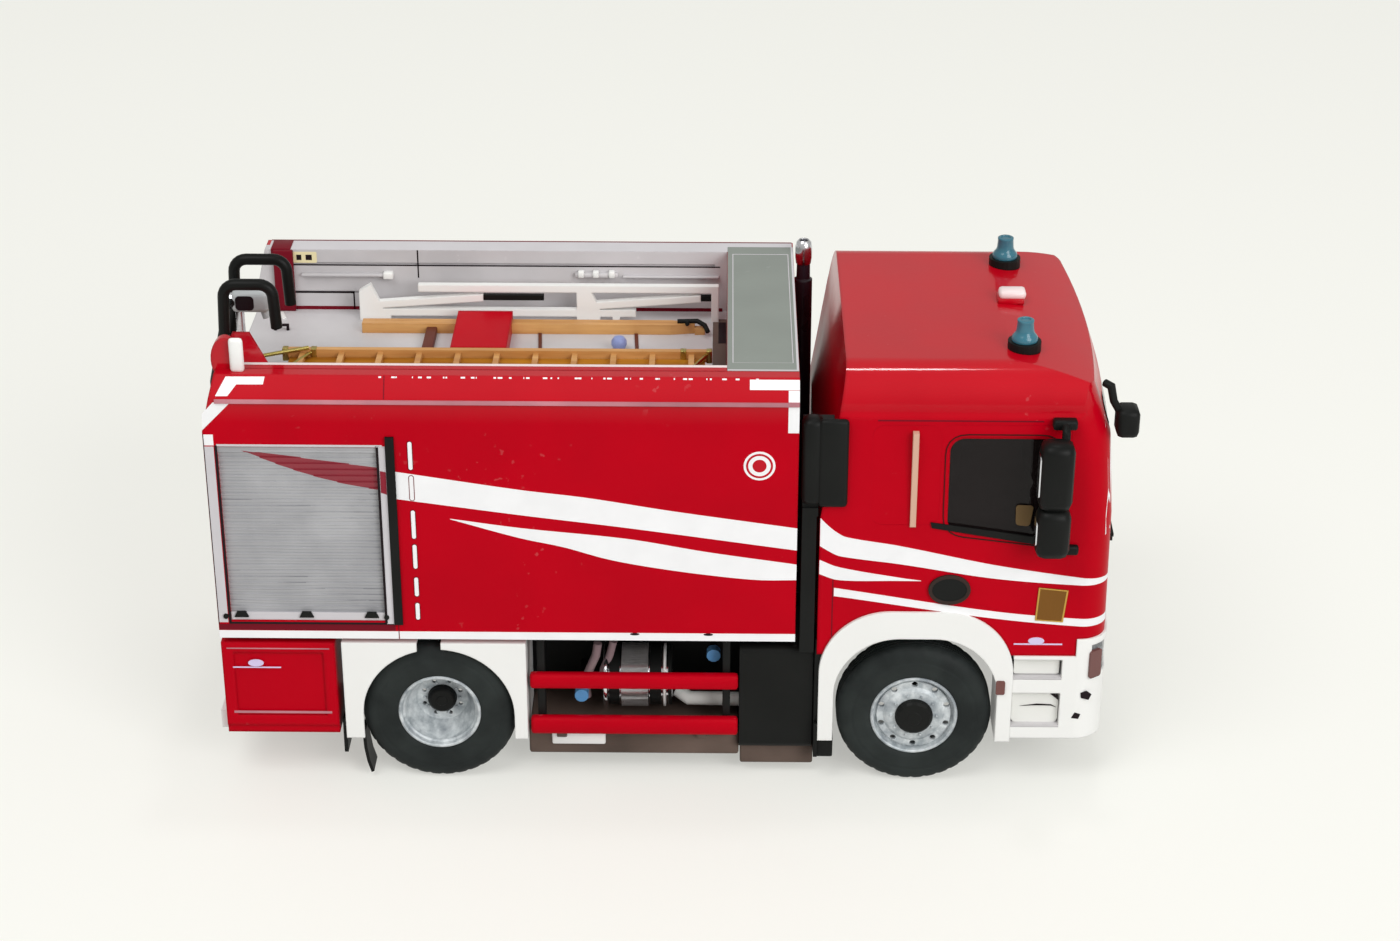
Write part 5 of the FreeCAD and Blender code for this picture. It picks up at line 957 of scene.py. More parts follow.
bar(infill, (ladder.rear + 0.5, ladder.right + 0.55, ladder.top - 1.05),
    (ladder.front - 0.5, ladder.left - 0.55, ladder.top - 0.62), 0.05)
piece("ladder_infill", infill, "amber_paint")
tube(hooks, [(pole.front - 2.2, 6.9, deck_top + 0.95), (pole.front - 0.6, 6.9, deck_top + 1.0),
             (pole.front, 6.5, deck_top + 0.8), (pole.front + 0.25, 5.9, deck_top + 0.5)], 0.2)
tube(hooks, [(pole.front - 1.4, 7.5, deck_top + 0.5), (pole.front - 1.4, 6.3, deck_top + 1.0)],
     0.18)
piece("pole_hook", hooks, "black_plastic")

# Tops of the coamings and the posts at their rear ends

COAMING_REAR, COAMING_FRONT = -15.2, body.front - 0.1
coaming_edge = body.left - CHAMFER_WIDTH
NEAR_EDGE, NEAR_FRONT = -12.24, 22.1
HIGHLIGHT_EDGE = -WALL - 0.42
POST_FRONT = ((-14.8, 10.72, deck_top), (-13.2, WALL + FILM, body.top + 0.04), 0.1)
POST_CAP = ((-15.0, 11.1, body.top - 0.4), (-13.4, 13.2, body.top + 0.1), 0.06)
WHITE_POST = ((-14.35, -12.95, body.top - 0.1), (-13.3, -12.4, 37.0), 0.26)
POST_SHIELD = ellipse(-14.75, 35.1, 1.05, 1.75)

coaming, coaming_red, coaming_dark, coaming_highlight, white_post = meshes(5)
roof = top_plane(body.top)
strips(coaming, roof, [(COAMING_REAR, WALL + 0.04, COAMING_FRONT, coaming_edge)])
strips(coaming_dark, roof, [(COAMING_REAR, coaming_edge - 0.16, COAMING_FRONT, coaming_edge)],
       FILM * 2)
strips(coaming_red, roof, [(COAMING_REAR, NEAR_EDGE, NEAR_FRONT, HIGHLIGHT_EDGE)])
# A pale rose line along the inner edge of the near coaming: a painted highlight where light catches the edge.
strips(coaming_highlight, roof, [(COAMING_REAR, HIGHLIGHT_EDGE, NEAR_FRONT, -WALL - 0.03)], FILM * 1.5)
bar(coaming_dark, *POST_FRONT)
bar(coaming_dark, *POST_CAP)
bar(white_post, *WHITE_POST)
slab(coaming_red, POST_SHIELD, side_plane(-1, 12.0), 0.35, 0.35)
piece("corner_post", white_post, "white_paint", smooth=60)
piece("coaming_top", coaming, "pale_print")
piece("coaming_edge_lines", coaming_dark, "seam_and_shade_red")
piece("coaming_paint", coaming_red, "red_paint")
piece("coaming_painted_highlight", coaming_highlight, "rose_white")


# Wheels

TREAD_STEPS, TOOTH_STEPS, TOOTH_DEPTH = 144, 4, 0.07
tyre_radius = axle_height
# A tyre's foot in the rim: (distance in from the face, height above the bore)
BEAD = ((0.16, 0), (0.1, 0.12), (0.02, 0.3), (0, 0.5))
# The tyre's side from there to its tread: (distance in from the face, radius)
SIDEWALL = ((0, 4.55), (0, 4.7), (0.05, 4.78), (0.02, 4.9), (0.06, 5.2), (0.16, 5.5),
            (0.32, 5.75), (0.5, 5.9), (0.66, 5.98))
SHOULDER_RINGS = 3
SHOULDER_WIDTH, GROOVE_HALF, GROOVE_FOOT, GROOVE_DEPTH = 0.75, 0.1, 0.07, 0.16


def tyre_profile(face, width, bore, groove_count):
    """Half-round shoulders, a bead at the rim, and grooves round the tread."""
    outer = [(face - inset, bore + rise) for inset, rise in BEAD]
    outer += [(face - inset, radius) for inset, radius in SIDEWALL]
    tread = []
    run = width - 2 * SHOULDER_WIDTH
    for number in range(groove_count):
        middle = face - SHOULDER_WIDTH - run * (number + 0.5) / groove_count
        floor = tyre_radius - GROOVE_DEPTH
        tread += [(middle + GROOVE_HALF, tyre_radius), (middle + GROOVE_FOOT, floor),
                  (middle - GROOVE_FOOT, floor), (middle - GROOVE_HALF, tyre_radius)]
    inner = [(2 * face - width - out, radius) for out, radius in outer[::-1]]
    return outer, outer + tread + inner


def tyres(name, node, centre_x, faces, width, bore, grooves, body_name):
    mesh = bmesh.new()
    for face in faces:
        outer, profile = tyre_profile(face, width, bore, grooves)
        shoulders = range(len(outer) - SHOULDER_RINGS, len(outer))

        def tread_cut(ring, step):
            cut = ring in shoulders or len(profile) - 1 - ring in shoulders
            return -TOOTH_DEPTH if cut and step % TOOTH_STEPS == 0 else 0

        for side in SIDES:
            lathe(mesh, profile, at(centre_x, 0, axle_height), side * LEFT, TREAD_STEPS, True,
                  tread_cut)
    made = piece(name, mesh, "tyre_rubber", body_name, 50)
    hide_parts(node)


tyres("front_tyre_set", "front_tyres", front_axle, (14.0,), 3.0, 3.37, 4, "front_axle_set")
tyres("rear_tyre_set", "rear_tyres", 0, (14.0, 10.9), 2.6, 3.19, 3, "rear_axle_set")

# Rims as turned rings: (distance from the middle, radius)
FRONT_RIM = ((11.0, 3.38), (13.86, 3.38), (13.95, 3.32), (13.97, 3.22), (13.9, 3.12),
             (13.42, 3.05), (13.4, 2.93), (13.6, 2.87), (13.62, 2.36), (13.8, 2.14),
             (13.84, 2.06), (13.84, 0.8), (13.4, 0.8), (13.32, 2.2), (13.28, 2.86),
             (13.1, 2.98), (11.0, 3.05))
REAR_RIM = ((8.3, 3.2), (13.86, 3.2), (13.95, 3.14), (13.97, 3.04), (13.9, 2.94),
            (13.6, 2.88), (13.5, 2.74), (13.0, 2.66), (11.9, 2.1), (11.66, 1.98),
            (11.6, 1.86), (11.6, 0.8), (11.3, 0.8), (11.28, 2.1), (12.8, 2.9), (8.3, 2.95))
HOLE_BACK, HOLE_LENGTH = 0.6, 1.0


def round_the_axle(centre_x, out, radius, count, offset=0.0):
    """Places in a ring round the axle, at a distance out from the model's middle."""
    for number in range(count):
        angle = 2 * math.pi * (number + offset) / count
        yield at(centre_x + radius * math.cos(angle), out, axle_height + radius * math.sin(angle))


def rims(name, node, centre_x, profile, hole_ring, hole_out, holes, hole_radius, body_name):
    mesh, cutter = meshes(2)
    for side in SIDES:
        lathe(mesh, profile, at(centre_x, 0, axle_height), side * LEFT, closed=True)
        for place in round_the_axle(centre_x, side * (hole_out - HOLE_BACK), hole_ring, holes, 0.5):
            lathe(cutter, [(0, hole_radius), (HOLE_LENGTH, hole_radius)], place, side * LEFT, 14)
    made = piece(name, mesh, "rim_silver", body_name, 30)
    tool = shown(name + "_holes", cutter)
    cut = made.modifiers.new("holes", "BOOLEAN")
    cut.object = tool
    cut.solver = "EXACT"
    bpy.context.view_layer.update()
    result = bpy.data.meshes.new_from_object(
        made.evaluated_get(bpy.context.evaluated_depsgraph_get()))
    made.modifiers.clear()
    made.data = result
    result.set_sharp_from_angle(angle=math.radians(30))
    bpy.data.objects.remove(tool)
    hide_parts(node)


rims("front_rim_set", "front_rims", front_axle, FRONT_RIM, 2.64, 13.6, 10, 0.24,
     "front_axle_set")
rims("rear_rim_set", "rear_rims", 0, REAR_RIM, 1.52, 11.6, 8, 0.17, "rear_axle_set")

# A hub cover as shares of its height and radius, and a wheel nut in millimetres
COVER_SHARES = ((0.55, 0.96), (0.8, 0.84), (0.97, 0.6), (0.97, 0.42))
COVER_LIP, COVER_BED, COVER_BOSS = 0.04, 0.1, 0.38
NUT_PROFILE, NUT_COUNT = ((-0.05, 0.12), (0.09, 0.12), (0.14, 0.09)), 10


def hubs(name, centre_x, base, radius, stand, nut_ring, body_name):
    """Domed black hub covers, with wheel nuts round them."""
    cover, nuts = meshes(2)
    profile = [(-COVER_BED, radius + COVER_LIP), (stand * 0.3, radius + COVER_LIP)]
    profile += [(stand * height, radius * width) for height, width in COVER_SHARES]
    profile += [(stand + COVER_LIP, radius * COVER_BOSS), (stand + 2 * COVER_LIP, 0)]
    for side in SIDES:
        lathe(cover, profile, at(centre_x, side * base, axle_height), side * LEFT, 64)
        for place in round_the_axle(centre_x, side * base, nut_ring, NUT_COUNT):
            lathe(nuts, NUT_PROFILE, place, side * LEFT, 6)
    piece(name + "_covers", cover, "black_plastic", body_name, 35)
    piece(name + "_nuts", nuts, "rim_silver", body_name, 30)


hubs("front_hub", front_axle, 13.84, 1.43, 0.52, 1.78, "front_axle_set")
hubs("rear_hub", 0, 11.6, 1.1, 0.6, 1.36, "rear_axle_set")

# Beacons

BEACON_PLACE, BEACON_REACH = 44.24, 1.05
BEACON_PROFILE = ((0, 0.96), (0.1, 1.0), (0.35, 0.96), (0.55, 0.8), (0.72, 0.7), (0.9, 0.66),
                  (1.5, 0.62), (1.58, 0.64), (1.66, 0.62), (1.7, 0.54), (1.7, 0.4),
                  (1.62, 0.36), (1.62, 0))
beacons = Extent("beacon_domes")
domes = bmesh.new()
for side in SIDES:
    lathe(domes, BEACON_PROFILE,
          at(BEACON_PLACE, side * (beacons.left - BEACON_REACH), beacons.bottom), parts=48)
made = piece("beacon_lenses", domes, "beacon_blue", smooth=35)
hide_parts("beacon_domes")

# Exhaust drum and stack

drum_box = Extent("exhaust_drum")
length = drum_box.front - drum_box.rear
drum_end = at(drum_box.rear, -9.6, 7.0)
DRUM_PROFILE = ((0, 2.2), (0.05, 2.6), (0.14, 2.65), (0.3, 2.65), (0.38, 2.55), (0.42, 2.3),
                (length * 0.25, 2.3), (length * 0.26, 2.5), (length * 0.65, 2.5),
                (length * 0.66, 2.3), (length * 0.985, 2.1), (length, 1.9), (length, 0))
# Where each sleeve and each band starts and ends, as shares of the drum's length; a band's radius
SLEEVE_SHARES = ((0.08, 0.24), (0.67, 0.84), (0.94, 0.99))
BAND_SHARES = ((0.0, 0.06, 2.6), (0.25, 0.66, 2.5), (0.86, 0.91, 2.5))


def drum_band(mesh, low, high, radius, rise, slant):
    """A band round the drum, between two shares of its length."""
    lathe(mesh, [(length * low, radius - rise), (length * low + slant, radius),
                 (length * high - slant, radius), (length * high, radius - rise)],
          drum_end, FORWARD, 72)


drum, sleeves, bands = meshes(3)
lathe(drum, DRUM_PROFILE, drum_end, FORWARD, 72)
for low, high in SLEEVE_SHARES:
    drum_band(sleeves, low, high, 2.36, 0.08, 0.05)
# The raised bands are near-white satin with little metal: a painted reflection of the bright surroundings in the
# chrome.
for low, high, radius in BAND_SHARES:
    drum_band(bands, low, high, radius, 0.3, 0.06)
bar(sleeves, (drum_box.rear + length * 0.3, -8.4, 7.4),
    (drum_box.rear + length * 0.6, -4.4, 8.6), 0.1)
piece("silencer_sleeves", sleeves, "black_plastic")
piece("silencer_painted_reflection_bands", bands, "painted_chrome_reflection", smooth=50)
made = piece("silencer", drum, "bright_plating", smooth=35)
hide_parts("exhaust_drum")

stack_box = Extent("exhaust_stack")
height = stack_box.top - stack_box.bottom
stack_foot = at(28.255, 11.0, stack_box.bottom)
STACK_PROFILE = ((0, 0.78), (height - 3.4, 0.74), (height - 3.3, 0.56), (height - 1.9, 0.54))
HEAD_PROFILE = ((height - 2.1, 0.5), (height - 2.0, 0.62), (height - 1.5, 0.68),
                (height - 0.6, 0.68), (height - 0.2, 0.6), (height, 0.42),
                (height - 0.06, 0.34), (height - 0.5, 0.32), (height - 0.5, 0))
stack, stack_head = meshes(2)
lathe(stack, STACK_PROFILE, stack_foot, parts=40)
lathe(stack_head, HEAD_PROFILE, stack_foot, parts=40)
piece("stack_head", stack_head, "soft_chrome", smooth=50)
made = piece("stack_pipe", stack, "steel_dark", smooth=35)
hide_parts("exhaust_stack")

# Rear ladder of round tube

rail = Extent("rear_ladder")
RAIL_RADIUS, HOOP_RADIUS, RUNG_RADIUS, BEND = 0.375, 0.44, 0.22, 1.0
HOOP_END, HOOP_LEAN = 34.9, 0.12
rear_x = rail.rear + RAIL_RADIUS
# Each rail: its side, where its hoop comes down behind and in front, and its extra height
HOOPS = ((rail.right + RAIL_RADIUS, -15.78, -12.05, 0.25),
         (rail.left - RAIL_RADIUS, -15.7, -11.65, 0.45))
BRACKETS, BRACKET_HEIGHT = (15.2, 29.3), 0.6
RUNG_FOOT, RUNG_PITCH, LEAN_FROM, LEAN = 1.2, 2.6, 30.4, 0.2

ladder_tubes = bmesh.new()
for y, back, fore, lift in HOOPS:
    bend_z = rail.top - HOOP_RADIUS + lift - BEND
    tube(ladder_tubes, [(rear_x, y, rail.bottom), (rear_x, y, 30.2)], RAIL_RADIUS, 20)
    path = [(rear_x, 30.0), (rear_x, LEAN_FROM), (back - HOOP_LEAN, 34.6)]
    path += arc(back + BEND, bend_z, BEND, 180, 90) + arc(fore - BEND, bend_z, BEND, 90, 0)
    path.append((fore + HOOP_LEAN, HOOP_END))
    tube(ladder_tubes, [(x, y, z) for x, z in path], HOOP_RADIUS, 20)
    for z in BRACKETS:
        bar(ladder_tubes, (rear_x, y - RAIL_RADIUS, z),
            (body.rear + 0.1, y + RAIL_RADIUS, z + BRACKET_HEIGHT))
z = rail.bottom + RUNG_FOOT
while z < ridge:
    x = rear_x + LEAN * max(z - LEAN_FROM, 0)
    tube(ladder_tubes, [(x, rail.right + RAIL_RADIUS, z), (x, rail.left - RAIL_RADIUS, z)],
         RUNG_RADIUS, 14)
    z += RUNG_PITCH
made = piece("rear_ladder_tubes", ladder_tubes, "black_plastic", smooth=45)
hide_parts("rear_ladder")

# Main mirrors

MIRROR_REAR, MIRROR_FRONT, MIRROR_IN, MIRROR_OUT = 44.95, 47.5, 14.75, 17.0
MIRROR_HEIGHTS = ((25.15, 30.6), (21.2, 25.25))
GLASS_SIDE, GLASS_END = 0.5, 1.0
MIRROR_ARM = ((46.9, 13.4, 31.0), (46.9, 14.7, 31.05), (46.9, 15.05, 30.8),
              (46.9, 15.05, 21.2), (46.9, 14.7, 20.95), (46.9, 13.6, 21.0))
ARM_FEET, FOOT_LENGTH, FOOT_HEIGHT = ((46.9, 31.1), (47.6, 20.75)), 0.9, 0.4

cases, mirror_glass = meshes(2)
for low, high in MIRROR_HEIGHTS:
    bar(cases, (MIRROR_REAR, MIRROR_IN, low), (MIRROR_FRONT, MIRROR_OUT, high), 0.7, SIDES)
    for near, far in ((MIRROR_IN, MIRROR_OUT), (-MIRROR_OUT, -MIRROR_IN)):
        slab(mirror_glass, rounded(near + GLASS_SIDE, low + GLASS_END, far - GLASS_SIDE,
                                   high - GLASS_END, 0.3), back_plane(MIRROR_REAR), 0.015, 0.3)
tube(cases, MIRROR_ARM, 0.3, 14, SIDES)
for x, z in ARM_FEET:
    bar(cases, (x - FOOT_LENGTH, 13.5, z - FOOT_HEIGHT), (x + FOOT_LENGTH, 14.4, z + FOOT_HEIGHT),
        0.2, SIDES)
made = piece("mirror_cases", cases, "black_plastic", smooth=50)
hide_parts("main_mirrors")
piece("mirror_glasses", mirror_glass, "bright_plating")

# Front of the cab

SCREEN = rounded(-11.1, 19.4, 11.1, 31.2, 1.1)
SLAT_COUNT, SLAT_HALF_LENGTH, SLAT_HALF, SLAT_MARGIN, GRILLE_BED = 5, 8.5, 0.16, 0.28, 0.4
GRILLE_OUTER = rounded(-8.75, grille.bottom - 0.15, 8.75, grille.top + 0.15, 0.5)
GRILLE_INNER = rounded(-8.45, grille.bottom + 0.12, 8.45, grille.top - 0.12, 0.4)
GRILLE_POSTS, GRILLE_POST_HALF = (-5.6, -2.8, 0, 2.8, 5.6), 0.1

screen_rubber, slats = meshes(2)
frame_ring(screen_rubber, grown(SCREEN, 0.35), grown(SCREEN, -RUBBER_IN), cab_front, 0.08,
           RUBBER_BED)
piece("windscreen_rubber", screen_rubber, "black_plastic")
for z in steps(grille.bottom + SLAT_MARGIN, grille.top - SLAT_MARGIN, SLAT_COUNT - 1):
    ribbon(slats, steps(-SLAT_HALF_LENGTH, SLAT_HALF_LENGTH, 24), lambda y: z - SLAT_HALF,
           lambda y: z + SLAT_HALF, cab_front, 0.12, GRILLE_BED)
frame_ring(slats, GRILLE_OUTER, GRILLE_INNER, cab_front, 0.14, GRILLE_BED)
for y in GRILLE_POSTS:
    slab(slats, rectangle(y - GRILLE_POST_HALF, grille.bottom + 0.1, y + GRILLE_POST_HALF,
                          grille.top - 0.1), cab_front, 0.04, GRILLE_BED)
piece("grille_slats", slats, "black_plastic")

# Hood of the air intake, the mirror over the front and the roof lamp

HOOD_BODY = ((27.65, -14.3, 24.3), (29.25, -12.6, 31.35), 0.5)
HOOD_LIP = ((28.9, -14.34, 24.2), (31.1, -13.7, 31.4), 0.3)
KERB_ARM = ((49.9, -11.9, 33.5), (50.3, -12.4, 33.45), (50.55, -12.45, 32.3),
            (51.2, -12.5, 31.2))
KERB_CASE = ((50.8, -13.5, 29.6), (52.5, -11.4, 31.9), 0.45)
roof_light = Extent("roof_lamp")

hood, kerb, lens, lamp_foot = meshes(4)
bar(hood, *HOOD_BODY)
bar(hood, *HOOD_LIP)
piece("intake_hood", hood, "black_plastic", smooth=50)
tube(kerb, KERB_ARM, 0.3, 14)
bar(kerb, *KERB_CASE)
made = piece("front_mirror", kerb, "black_plastic", smooth=50)
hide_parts("kerb_mirror")
bar(lens, (roof_light.rear + 0.6, roof_light.right + 0.2, roof_light.bottom + 0.3),
    (roof_light.front + 0.5, roof_light.left - 0.2, roof_light.top + 0.1), 0.3)
bar(lamp_foot, (roof_light.rear + 0.5, roof_light.right + 0.05, roof_light.bottom),
    (roof_light.front + 0.35, roof_light.left - 0.05, roof_light.bottom + 0.45), 0.1)
made = piece("roof_lamp_lens", lens, "rose_white", smooth=60)
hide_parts("roof_lamp")
piece("roof_lamp_foot", lamp_foot, "red_paint")

# Side guards, the pipe and what shows beneath them

GUARD_FACE, GUARD_BACK = 14.0, 13.2
GUARD_HEIGHTS, GUARD_POSTS, GUARD_POST_HALF = ((8.18, 9.43), (4.1, 5.56)), (7.9, 22.2), 0.3
TRAY_IN, TRAY_OUT, TRAY_REAR, TRAY_FRONT = 6.4, 12.8, 6.8, 23.2
TRAY_FEET, TRAY_FOOT_HALF = (9.4, 20.3), 0.4
BOX_FRONT = 29.0
TRAY_LABEL = ((8.6, -13.1, 2.65), (12.8, -12.7, 3.75), 0.15)
guard = Extent("side_guards")
box_bottom = Extent("chassis_boxes").bottom

guards, guard_posts, tray_parts, shade_panels, tray_label = meshes(5)
for low, high in GUARD_HEIGHTS:
    bar(guards, (guard.rear, GUARD_BACK, low), (guard.front, GUARD_FACE, high), 0.22, SIDES)
for x in GUARD_POSTS:
    bar(guard_posts, (x - GUARD_POST_HALF, GUARD_BACK - 0.75, 4.3),
        (x + GUARD_POST_HALF, GUARD_BACK + 0.1, 12.9), 0.08, SIDES)
bar(tray_parts, (TRAY_REAR, TRAY_IN, 1.65), (TRAY_FRONT, TRAY_OUT, 3.9), 0.2, SIDES)
bar(tray_parts, (TRAY_FRONT + 0.1, TRAY_IN, box_bottom - 1.7),
    (BOX_FRONT, TRAY_OUT, box_bottom + 0.1), 0.15, SIDES)
for x in TRAY_FEET:
    bar(tray_parts, (x - TRAY_FOOT_HALF, TRAY_OUT - 0.5, 3.4),
        (x + TRAY_FOOT_HALF, TRAY_OUT + 0.5, 4.6), 0.1, SIDES)
# Upright black panels behind the guards: partly the dark chassis, and partly a dark sheet that stands for the
# shade under the body.
bar(shade_panels, (6.4, TRAY_IN - 0.2, 2.6), (BOX_FRONT, TRAY_IN + 0.2, 12.75), 0.1, SIDES)
bar(shade_panels, (BOX_FRONT - 0.05, 11.2, 4.0), (BOX_FRONT + 1.1, 13.85, 12.7), 0.1, SIDES)
made = piece("guard_bars", guards, "red_paint")
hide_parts("side_guards")
piece("guard_posts", guard_posts, "black_plastic")
piece("inner_shade_panels", shade_panels, "black_plastic")
piece("under_tray", tray_parts, "under_brown", smooth=50)
bar(tray_label, *TRAY_LABEL)
piece("tray_label", tray_label, "white_paint")

pipe_box = Extent("side_pipe")
PIPE_SIDE = -10.4
HOSES = ((((12.2, -11.0, 10.6), (12.04, -11.0, 9.53), (11.56, -11.0, 8.35),
           (11.15, -11.0, 7.26), (11.3, -10.6, 5.6)), 0.34),
         (((13.4, -10.7, 10.6), (13.1, -10.8, 9.4), (12.6, -10.8, 8.2), (12.5, -10.6, 6.6)), 0.3))
FLAP = ((-6.12, 4.2), (-6.04, 2.6), (-5.86, 1.4), (-5.58, 0.4), (-5.36, 0.5), (-5.64, 1.5),
        (-5.8, 2.7), (-5.86, 4.2))
FLAP_MIDDLE = 13.3

pipe, hoses, flaps = meshes(3)
tube(pipe, [(pipe_box.rear - 0.9, -9.8, 5.7), (pipe_box.rear, PIPE_SIDE, 5.35),
            (pipe_box.front, PIPE_SIDE, 5.3)], 0.55, 20)
made = piece("lower_pipe", pipe, "pipe_white")
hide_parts("side_pipe")
for path, radius in HOSES:
    tube(hoses, path, radius, 14)
piece("hoses", hoses, "hose_grey", smooth=60)
slab(flaps, FLAP, on_both(side_plane, FLAP_MIDDLE), 0.5, 1.6)
bar(flaps, (BOX_FRONT + 0.05, 12.5, 2.25), (BOX_FRONT + 1.5, 14.0, 4.1), 0.12, SIDES)
piece("flaps", flaps, "black_plastic", smooth=50)

# Steps and small lamps under the door

STEP_PLATES = (rounded(44.25, 9.7, 47.75, 11.35, 0.2), rounded(44.25, 5.3, 47.85, 8.5, 0.5))
STEP_LINES = (((44.3, 11.3), (47.6, 11.0), (47.7, 11.3), (44.3, 11.62)),
              ((44.9, 6.85), (46.2, 7.05), (47.3, 7.0), (47.7, 6.75), (47.3, 6.9), (46.2, 6.92)),
              ((47.2, 7.95), (47.75, 8.2), (47.85, 7.4), (47.6, 7.6)))
STEP_DEPTH, LINE_DEPTH = 0.5, 0.44
# The small lamps under the door and on the locker: the surface, the line and the lens
DOOR_LAMPS = ((SKINS, (44.1, 12.46, 47.8, 12.58), ellipse(45.8, 12.82, 0.62, 0.3, 20)),
              (on_both(side_plane, locker.left), (-15.7, 10.05, -12.0, 10.15),
               ellipse(-13.9, 10.5, 0.6, 0.3, 20)))
# Pink lines along each locker: the upper one is a painted highlight along the locker's top edge, the lower one a
# pale pink line lower down.
LOCKER_LINES = ((locker.rear + 0.4, 11.72, locker.front - 0.4, 11.82),
                (locker.rear + 0.6, 6.0, locker.front - 0.5, 6.2))

step_plates, step_lines, door_lamps, locker_lines = meshes(4)
for outline in STEP_PLATES:
    slab(step_plates, outline, on_both(side_plane, bumper.left - STEP_DEPTH))
for outline in STEP_LINES:
    slab(step_lines, outline, on_both(side_plane, bumper.left - LINE_DEPTH))
for place, line, lamp_lens in DOOR_LAMPS:
    strips(door_lamps, place, [line])
    slab(door_lamps, lamp_lens, place, 0.06)
strips(locker_lines, on_both(side_plane, locker.left), LOCKER_LINES)
piece("locker_lines", locker_lines, "trim_pink")
piece("step_plates", step_plates, "pipe_white")
piece("step_lines", step_lines, "dark_print")
piece("door_lamps", door_lamps, "lilac_lens")

# Painted reflections down the corner pillars, and headlamp bowls

# A white streak down each front corner of the cab: a painted reflection of light in the glass at the windscreen's
# edge.
PILLAR_REFLECTION = ((50.75, 21.6), (51.5, 21.9), (51.3, 24.4), (51.5, 26.6), (51.2, 29.2),
               (50.7, 31.0), (50.5, 30.2), (50.75, 27.6), (50.9, 25.2), (50.65, 23.2))
BOWL_SIDES, BOWL_HEIGHT, BOWL_RADIUS = (10.5, 12.2), 11.05, 0.72
BOWL_PROFILE = ((-0.5, BOWL_RADIUS), (-0.12, BOWL_RADIUS), (-0.1, BOWL_RADIUS - 0.14),
                (-0.3, BOWL_RADIUS * 0.4), (-0.32, 0))

pillar_reflections, bowls = meshes(2)
slab(pillar_reflections, PILLAR_REFLECTION, SKINS, INK_ON_CAB)
piece("painted_pillar_reflections", pillar_reflections, "white_print_and_painted_glints")
for y in BOWL_SIDES:
    for side in SIDES:
        lathe(bowls, BOWL_PROFILE, cab_front(side * y, BOWL_HEIGHT, 0), FORWARD, 32)
piece("headlamp_bowls", bowls, "bright_plating", smooth=35)

# Work lamp on its strut, and seat edges behind the glass

LAMP_CASE = ((-15.65, -3.9, 35.15), (-12.75, -2.6, 36.9), 0.38)
LAMP_STEM = ((-13.4, -3.2, 35.6), (-13.1, -3.2, 34.6))
LAMP_GLASS = rounded(-15.3, 35.45, -13.9, 36.6, 0.3)
# The seat edge on the window is the seat's tan darkened as painted shade behind the tinted glass.
SEAT_EDGE = soft_corners([(43.7, 22.75), (44.75, 22.65), (45.0, 24.35), (43.65, 24.4)], 0.3)

work_case, work_glass, seat_edge = meshes(3)
bar(work_case, *LAMP_CASE)
tube(work_case, LAMP_STEM, 0.3, 14)
piece("work_lamp_case", work_case, "tank_grey", smooth=60)
slab(work_glass, LAMP_GLASS, side_plane(-1, 3.9), 0.05)
piece("work_lamp_glass", work_glass, "dark_print")
slab(seat_edge, SEAT_EDGE, SKINS, 0.03)
piece("seat_edges", seat_edge, "seat_tan_in_painted_shade")

# Rear face

tail_lamp = Extent("tail_lamps")
LAMP_MARGIN, SEGMENT_WIDTH = 0.25, 0.9
TAIL_LATCHES, BAR_FACE = (-4.0, 0.0, 4.0), 0.16


def tail_frame(out, down, up):
    """Outline round the tail shutter, moved out by three amounts."""
    return rectangle(tail.right - out, tail.bottom - down, tail.left + out, tail.top + up)


rear_pale, rear_black, rear_amber = meshes(3)
frame_ring(rear_pale, tail_frame(0.5, 0.45, 0.4), tail_frame(0, 0, 0), back_plane(body.rear), 0.12)
frame_ring(rear_black, tail_frame(FILM, FILM, FILM), tail_frame(-0.18, -0.18, -0.18),
           back_plane(tail.rear), 0.04)
bar(rear_pale, (tail.rear - BAR_FACE, tail.right + 0.3, tail.bottom + 0.3),
    (tail.rear + 0.1, tail.left - 0.3, tail.bottom + 0.95))
middle = (tail.right + tail.left) / 2
for offset in TAIL_LATCHES:
    slab(rear_black, latch(middle + offset, tail.bottom + 0.6, tail.bottom + 1.05),
         back_plane(tail.rear - BAR_FACE), 0.14)
for low in (0.2 - tail_lamp.left, tail_lamp.left - 2.3):
    slab(rear_amber, rounded(low, tail_lamp.bottom + LAMP_MARGIN, low + SEGMENT_WIDTH,
                             tail_lamp.top - LAMP_MARGIN, 0.12), back_plane(tail_lamp.rear), 0.08)
piece("rear_shutter_frame", rear_pale, "pale_print")
piece("rear_shutter_lines", rear_black, "dark_print")
piece("rear_lamp_segments", rear_amber, "amber_lens")


# Stage

FLOOR_REACH, FLOOR_TINT = 6.0, srgb(186, 186, 182)
FLOOR_GLOW = (0.432, 0.432, 0.408)
SKY_TINT, SKY_STRENGTH = srgb(240, 240, 236), 0.62
CAMERA_PLACE, CAMERA_TURN, CAMERA_LENS = (21.825, -194.771, 116.879), (63.595, -0.126, 0.598), 70.14
MODEL_MIDDLE = Vector((0, 0, 0.01))


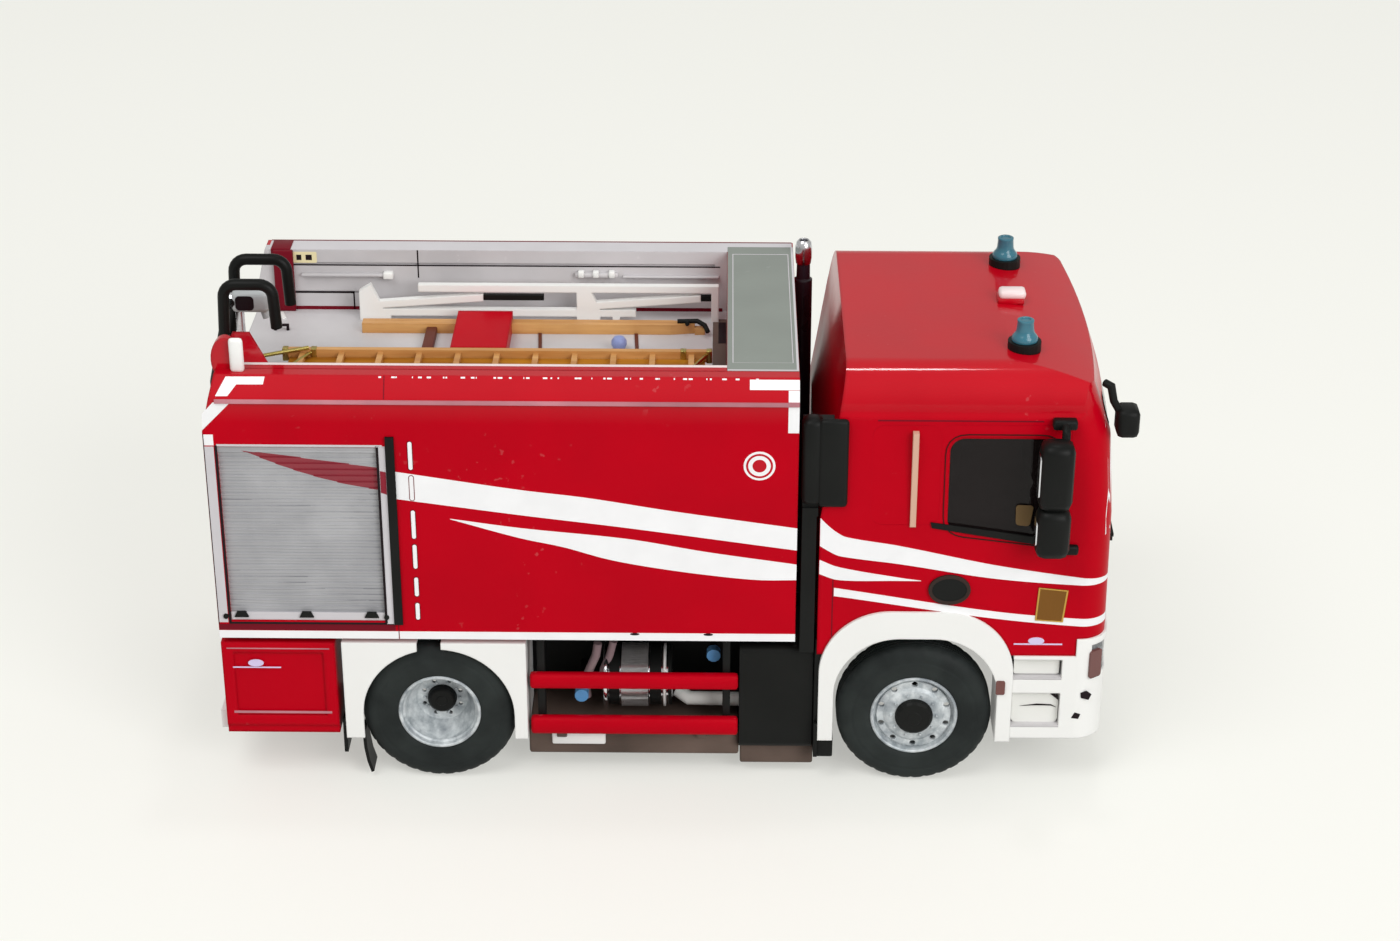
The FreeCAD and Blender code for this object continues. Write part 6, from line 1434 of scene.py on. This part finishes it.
def stage_floor():
    """A plain pale card whose glow shows to the camera, in reflections and through glass."""
    mesh = bmesh.new()
    mesh.faces.new([mesh.verts.new((x, y, 0)) for x, y in
                    rectangle(-FLOOR_REACH, -FLOOR_REACH, FLOOR_REACH, FLOOR_REACH)])
    floor = shown("floor", mesh)
    finish = Finish("floor_card", Roughness=0.75, Emission_Strength=1.0, Base_Color=FLOOR_TINT)
    seen = finish.node("ShaderNodeLightPath", output="Is Camera Ray")
    for ray in ("Is Glossy Ray", "Is Transmission Ray"):
        seen = seen + finish.node("ShaderNodeLightPath", output=ray)
    finish.set("Emission Color", finish.mix(seen, (0.0, 0.0, 0.0), FLOOR_GLOW))
    floor.data.materials.append(finish.material)


def lamp(name, place, aim, size, power):
    """A round soft lamp, in metres and watts, turned to what it lights."""
    light = bpy.data.lights.new(name, "AREA")
    light.shape = "DISK"
    light.size = size
    light.energy = power
    made = bpy.data.objects.new(name, light)
    made.location = place
    made.rotation_euler = (aim - Vector(place)).to_track_quat("-Z", "Y").to_euler()
    bpy.context.scene.collection.objects.link(made)


def backdrop():
    world = bpy.data.worlds.new("studio")
    bpy.context.scene.world = world
    world.use_nodes = True
    sky = world.node_tree.nodes["Background"]
    sky.inputs["Color"].default_value = (*SKY_TINT, 1)
    sky.inputs["Strength"].default_value = SKY_STRENGTH


def camera():
    lens = bpy.data.cameras.new("camera")
    lens.lens = CAMERA_LENS
    lens.sensor_width = 36.0
    lens.clip_start = MM
    made = bpy.data.objects.new("camera", lens)
    made.location = at(*CAMERA_PLACE)
    made.rotation_euler = [math.radians(angle) for angle in CAMERA_TURN]
    bpy.context.scene.collection.objects.link(made)
    bpy.context.scene.camera = made


stage_floor()
backdrop()
roof_edge = at(34.0, -13.0, 34.0)
lamp("key", (-0.2, -0.25, 0.5), MODEL_MIDDLE, size=0.32, power=1.07)
lamp("fill", (0.35, -0.45, 0.3), MODEL_MIDDLE, size=0.4, power=2.08)
lamp("glint", roof_edge + Vector((0.06, 0.2, 0.98)) * 0.4, roof_edge, size=0.04, power=0.12)
camera()
bpy.context.scene.view_settings.view_transform = "Standard"
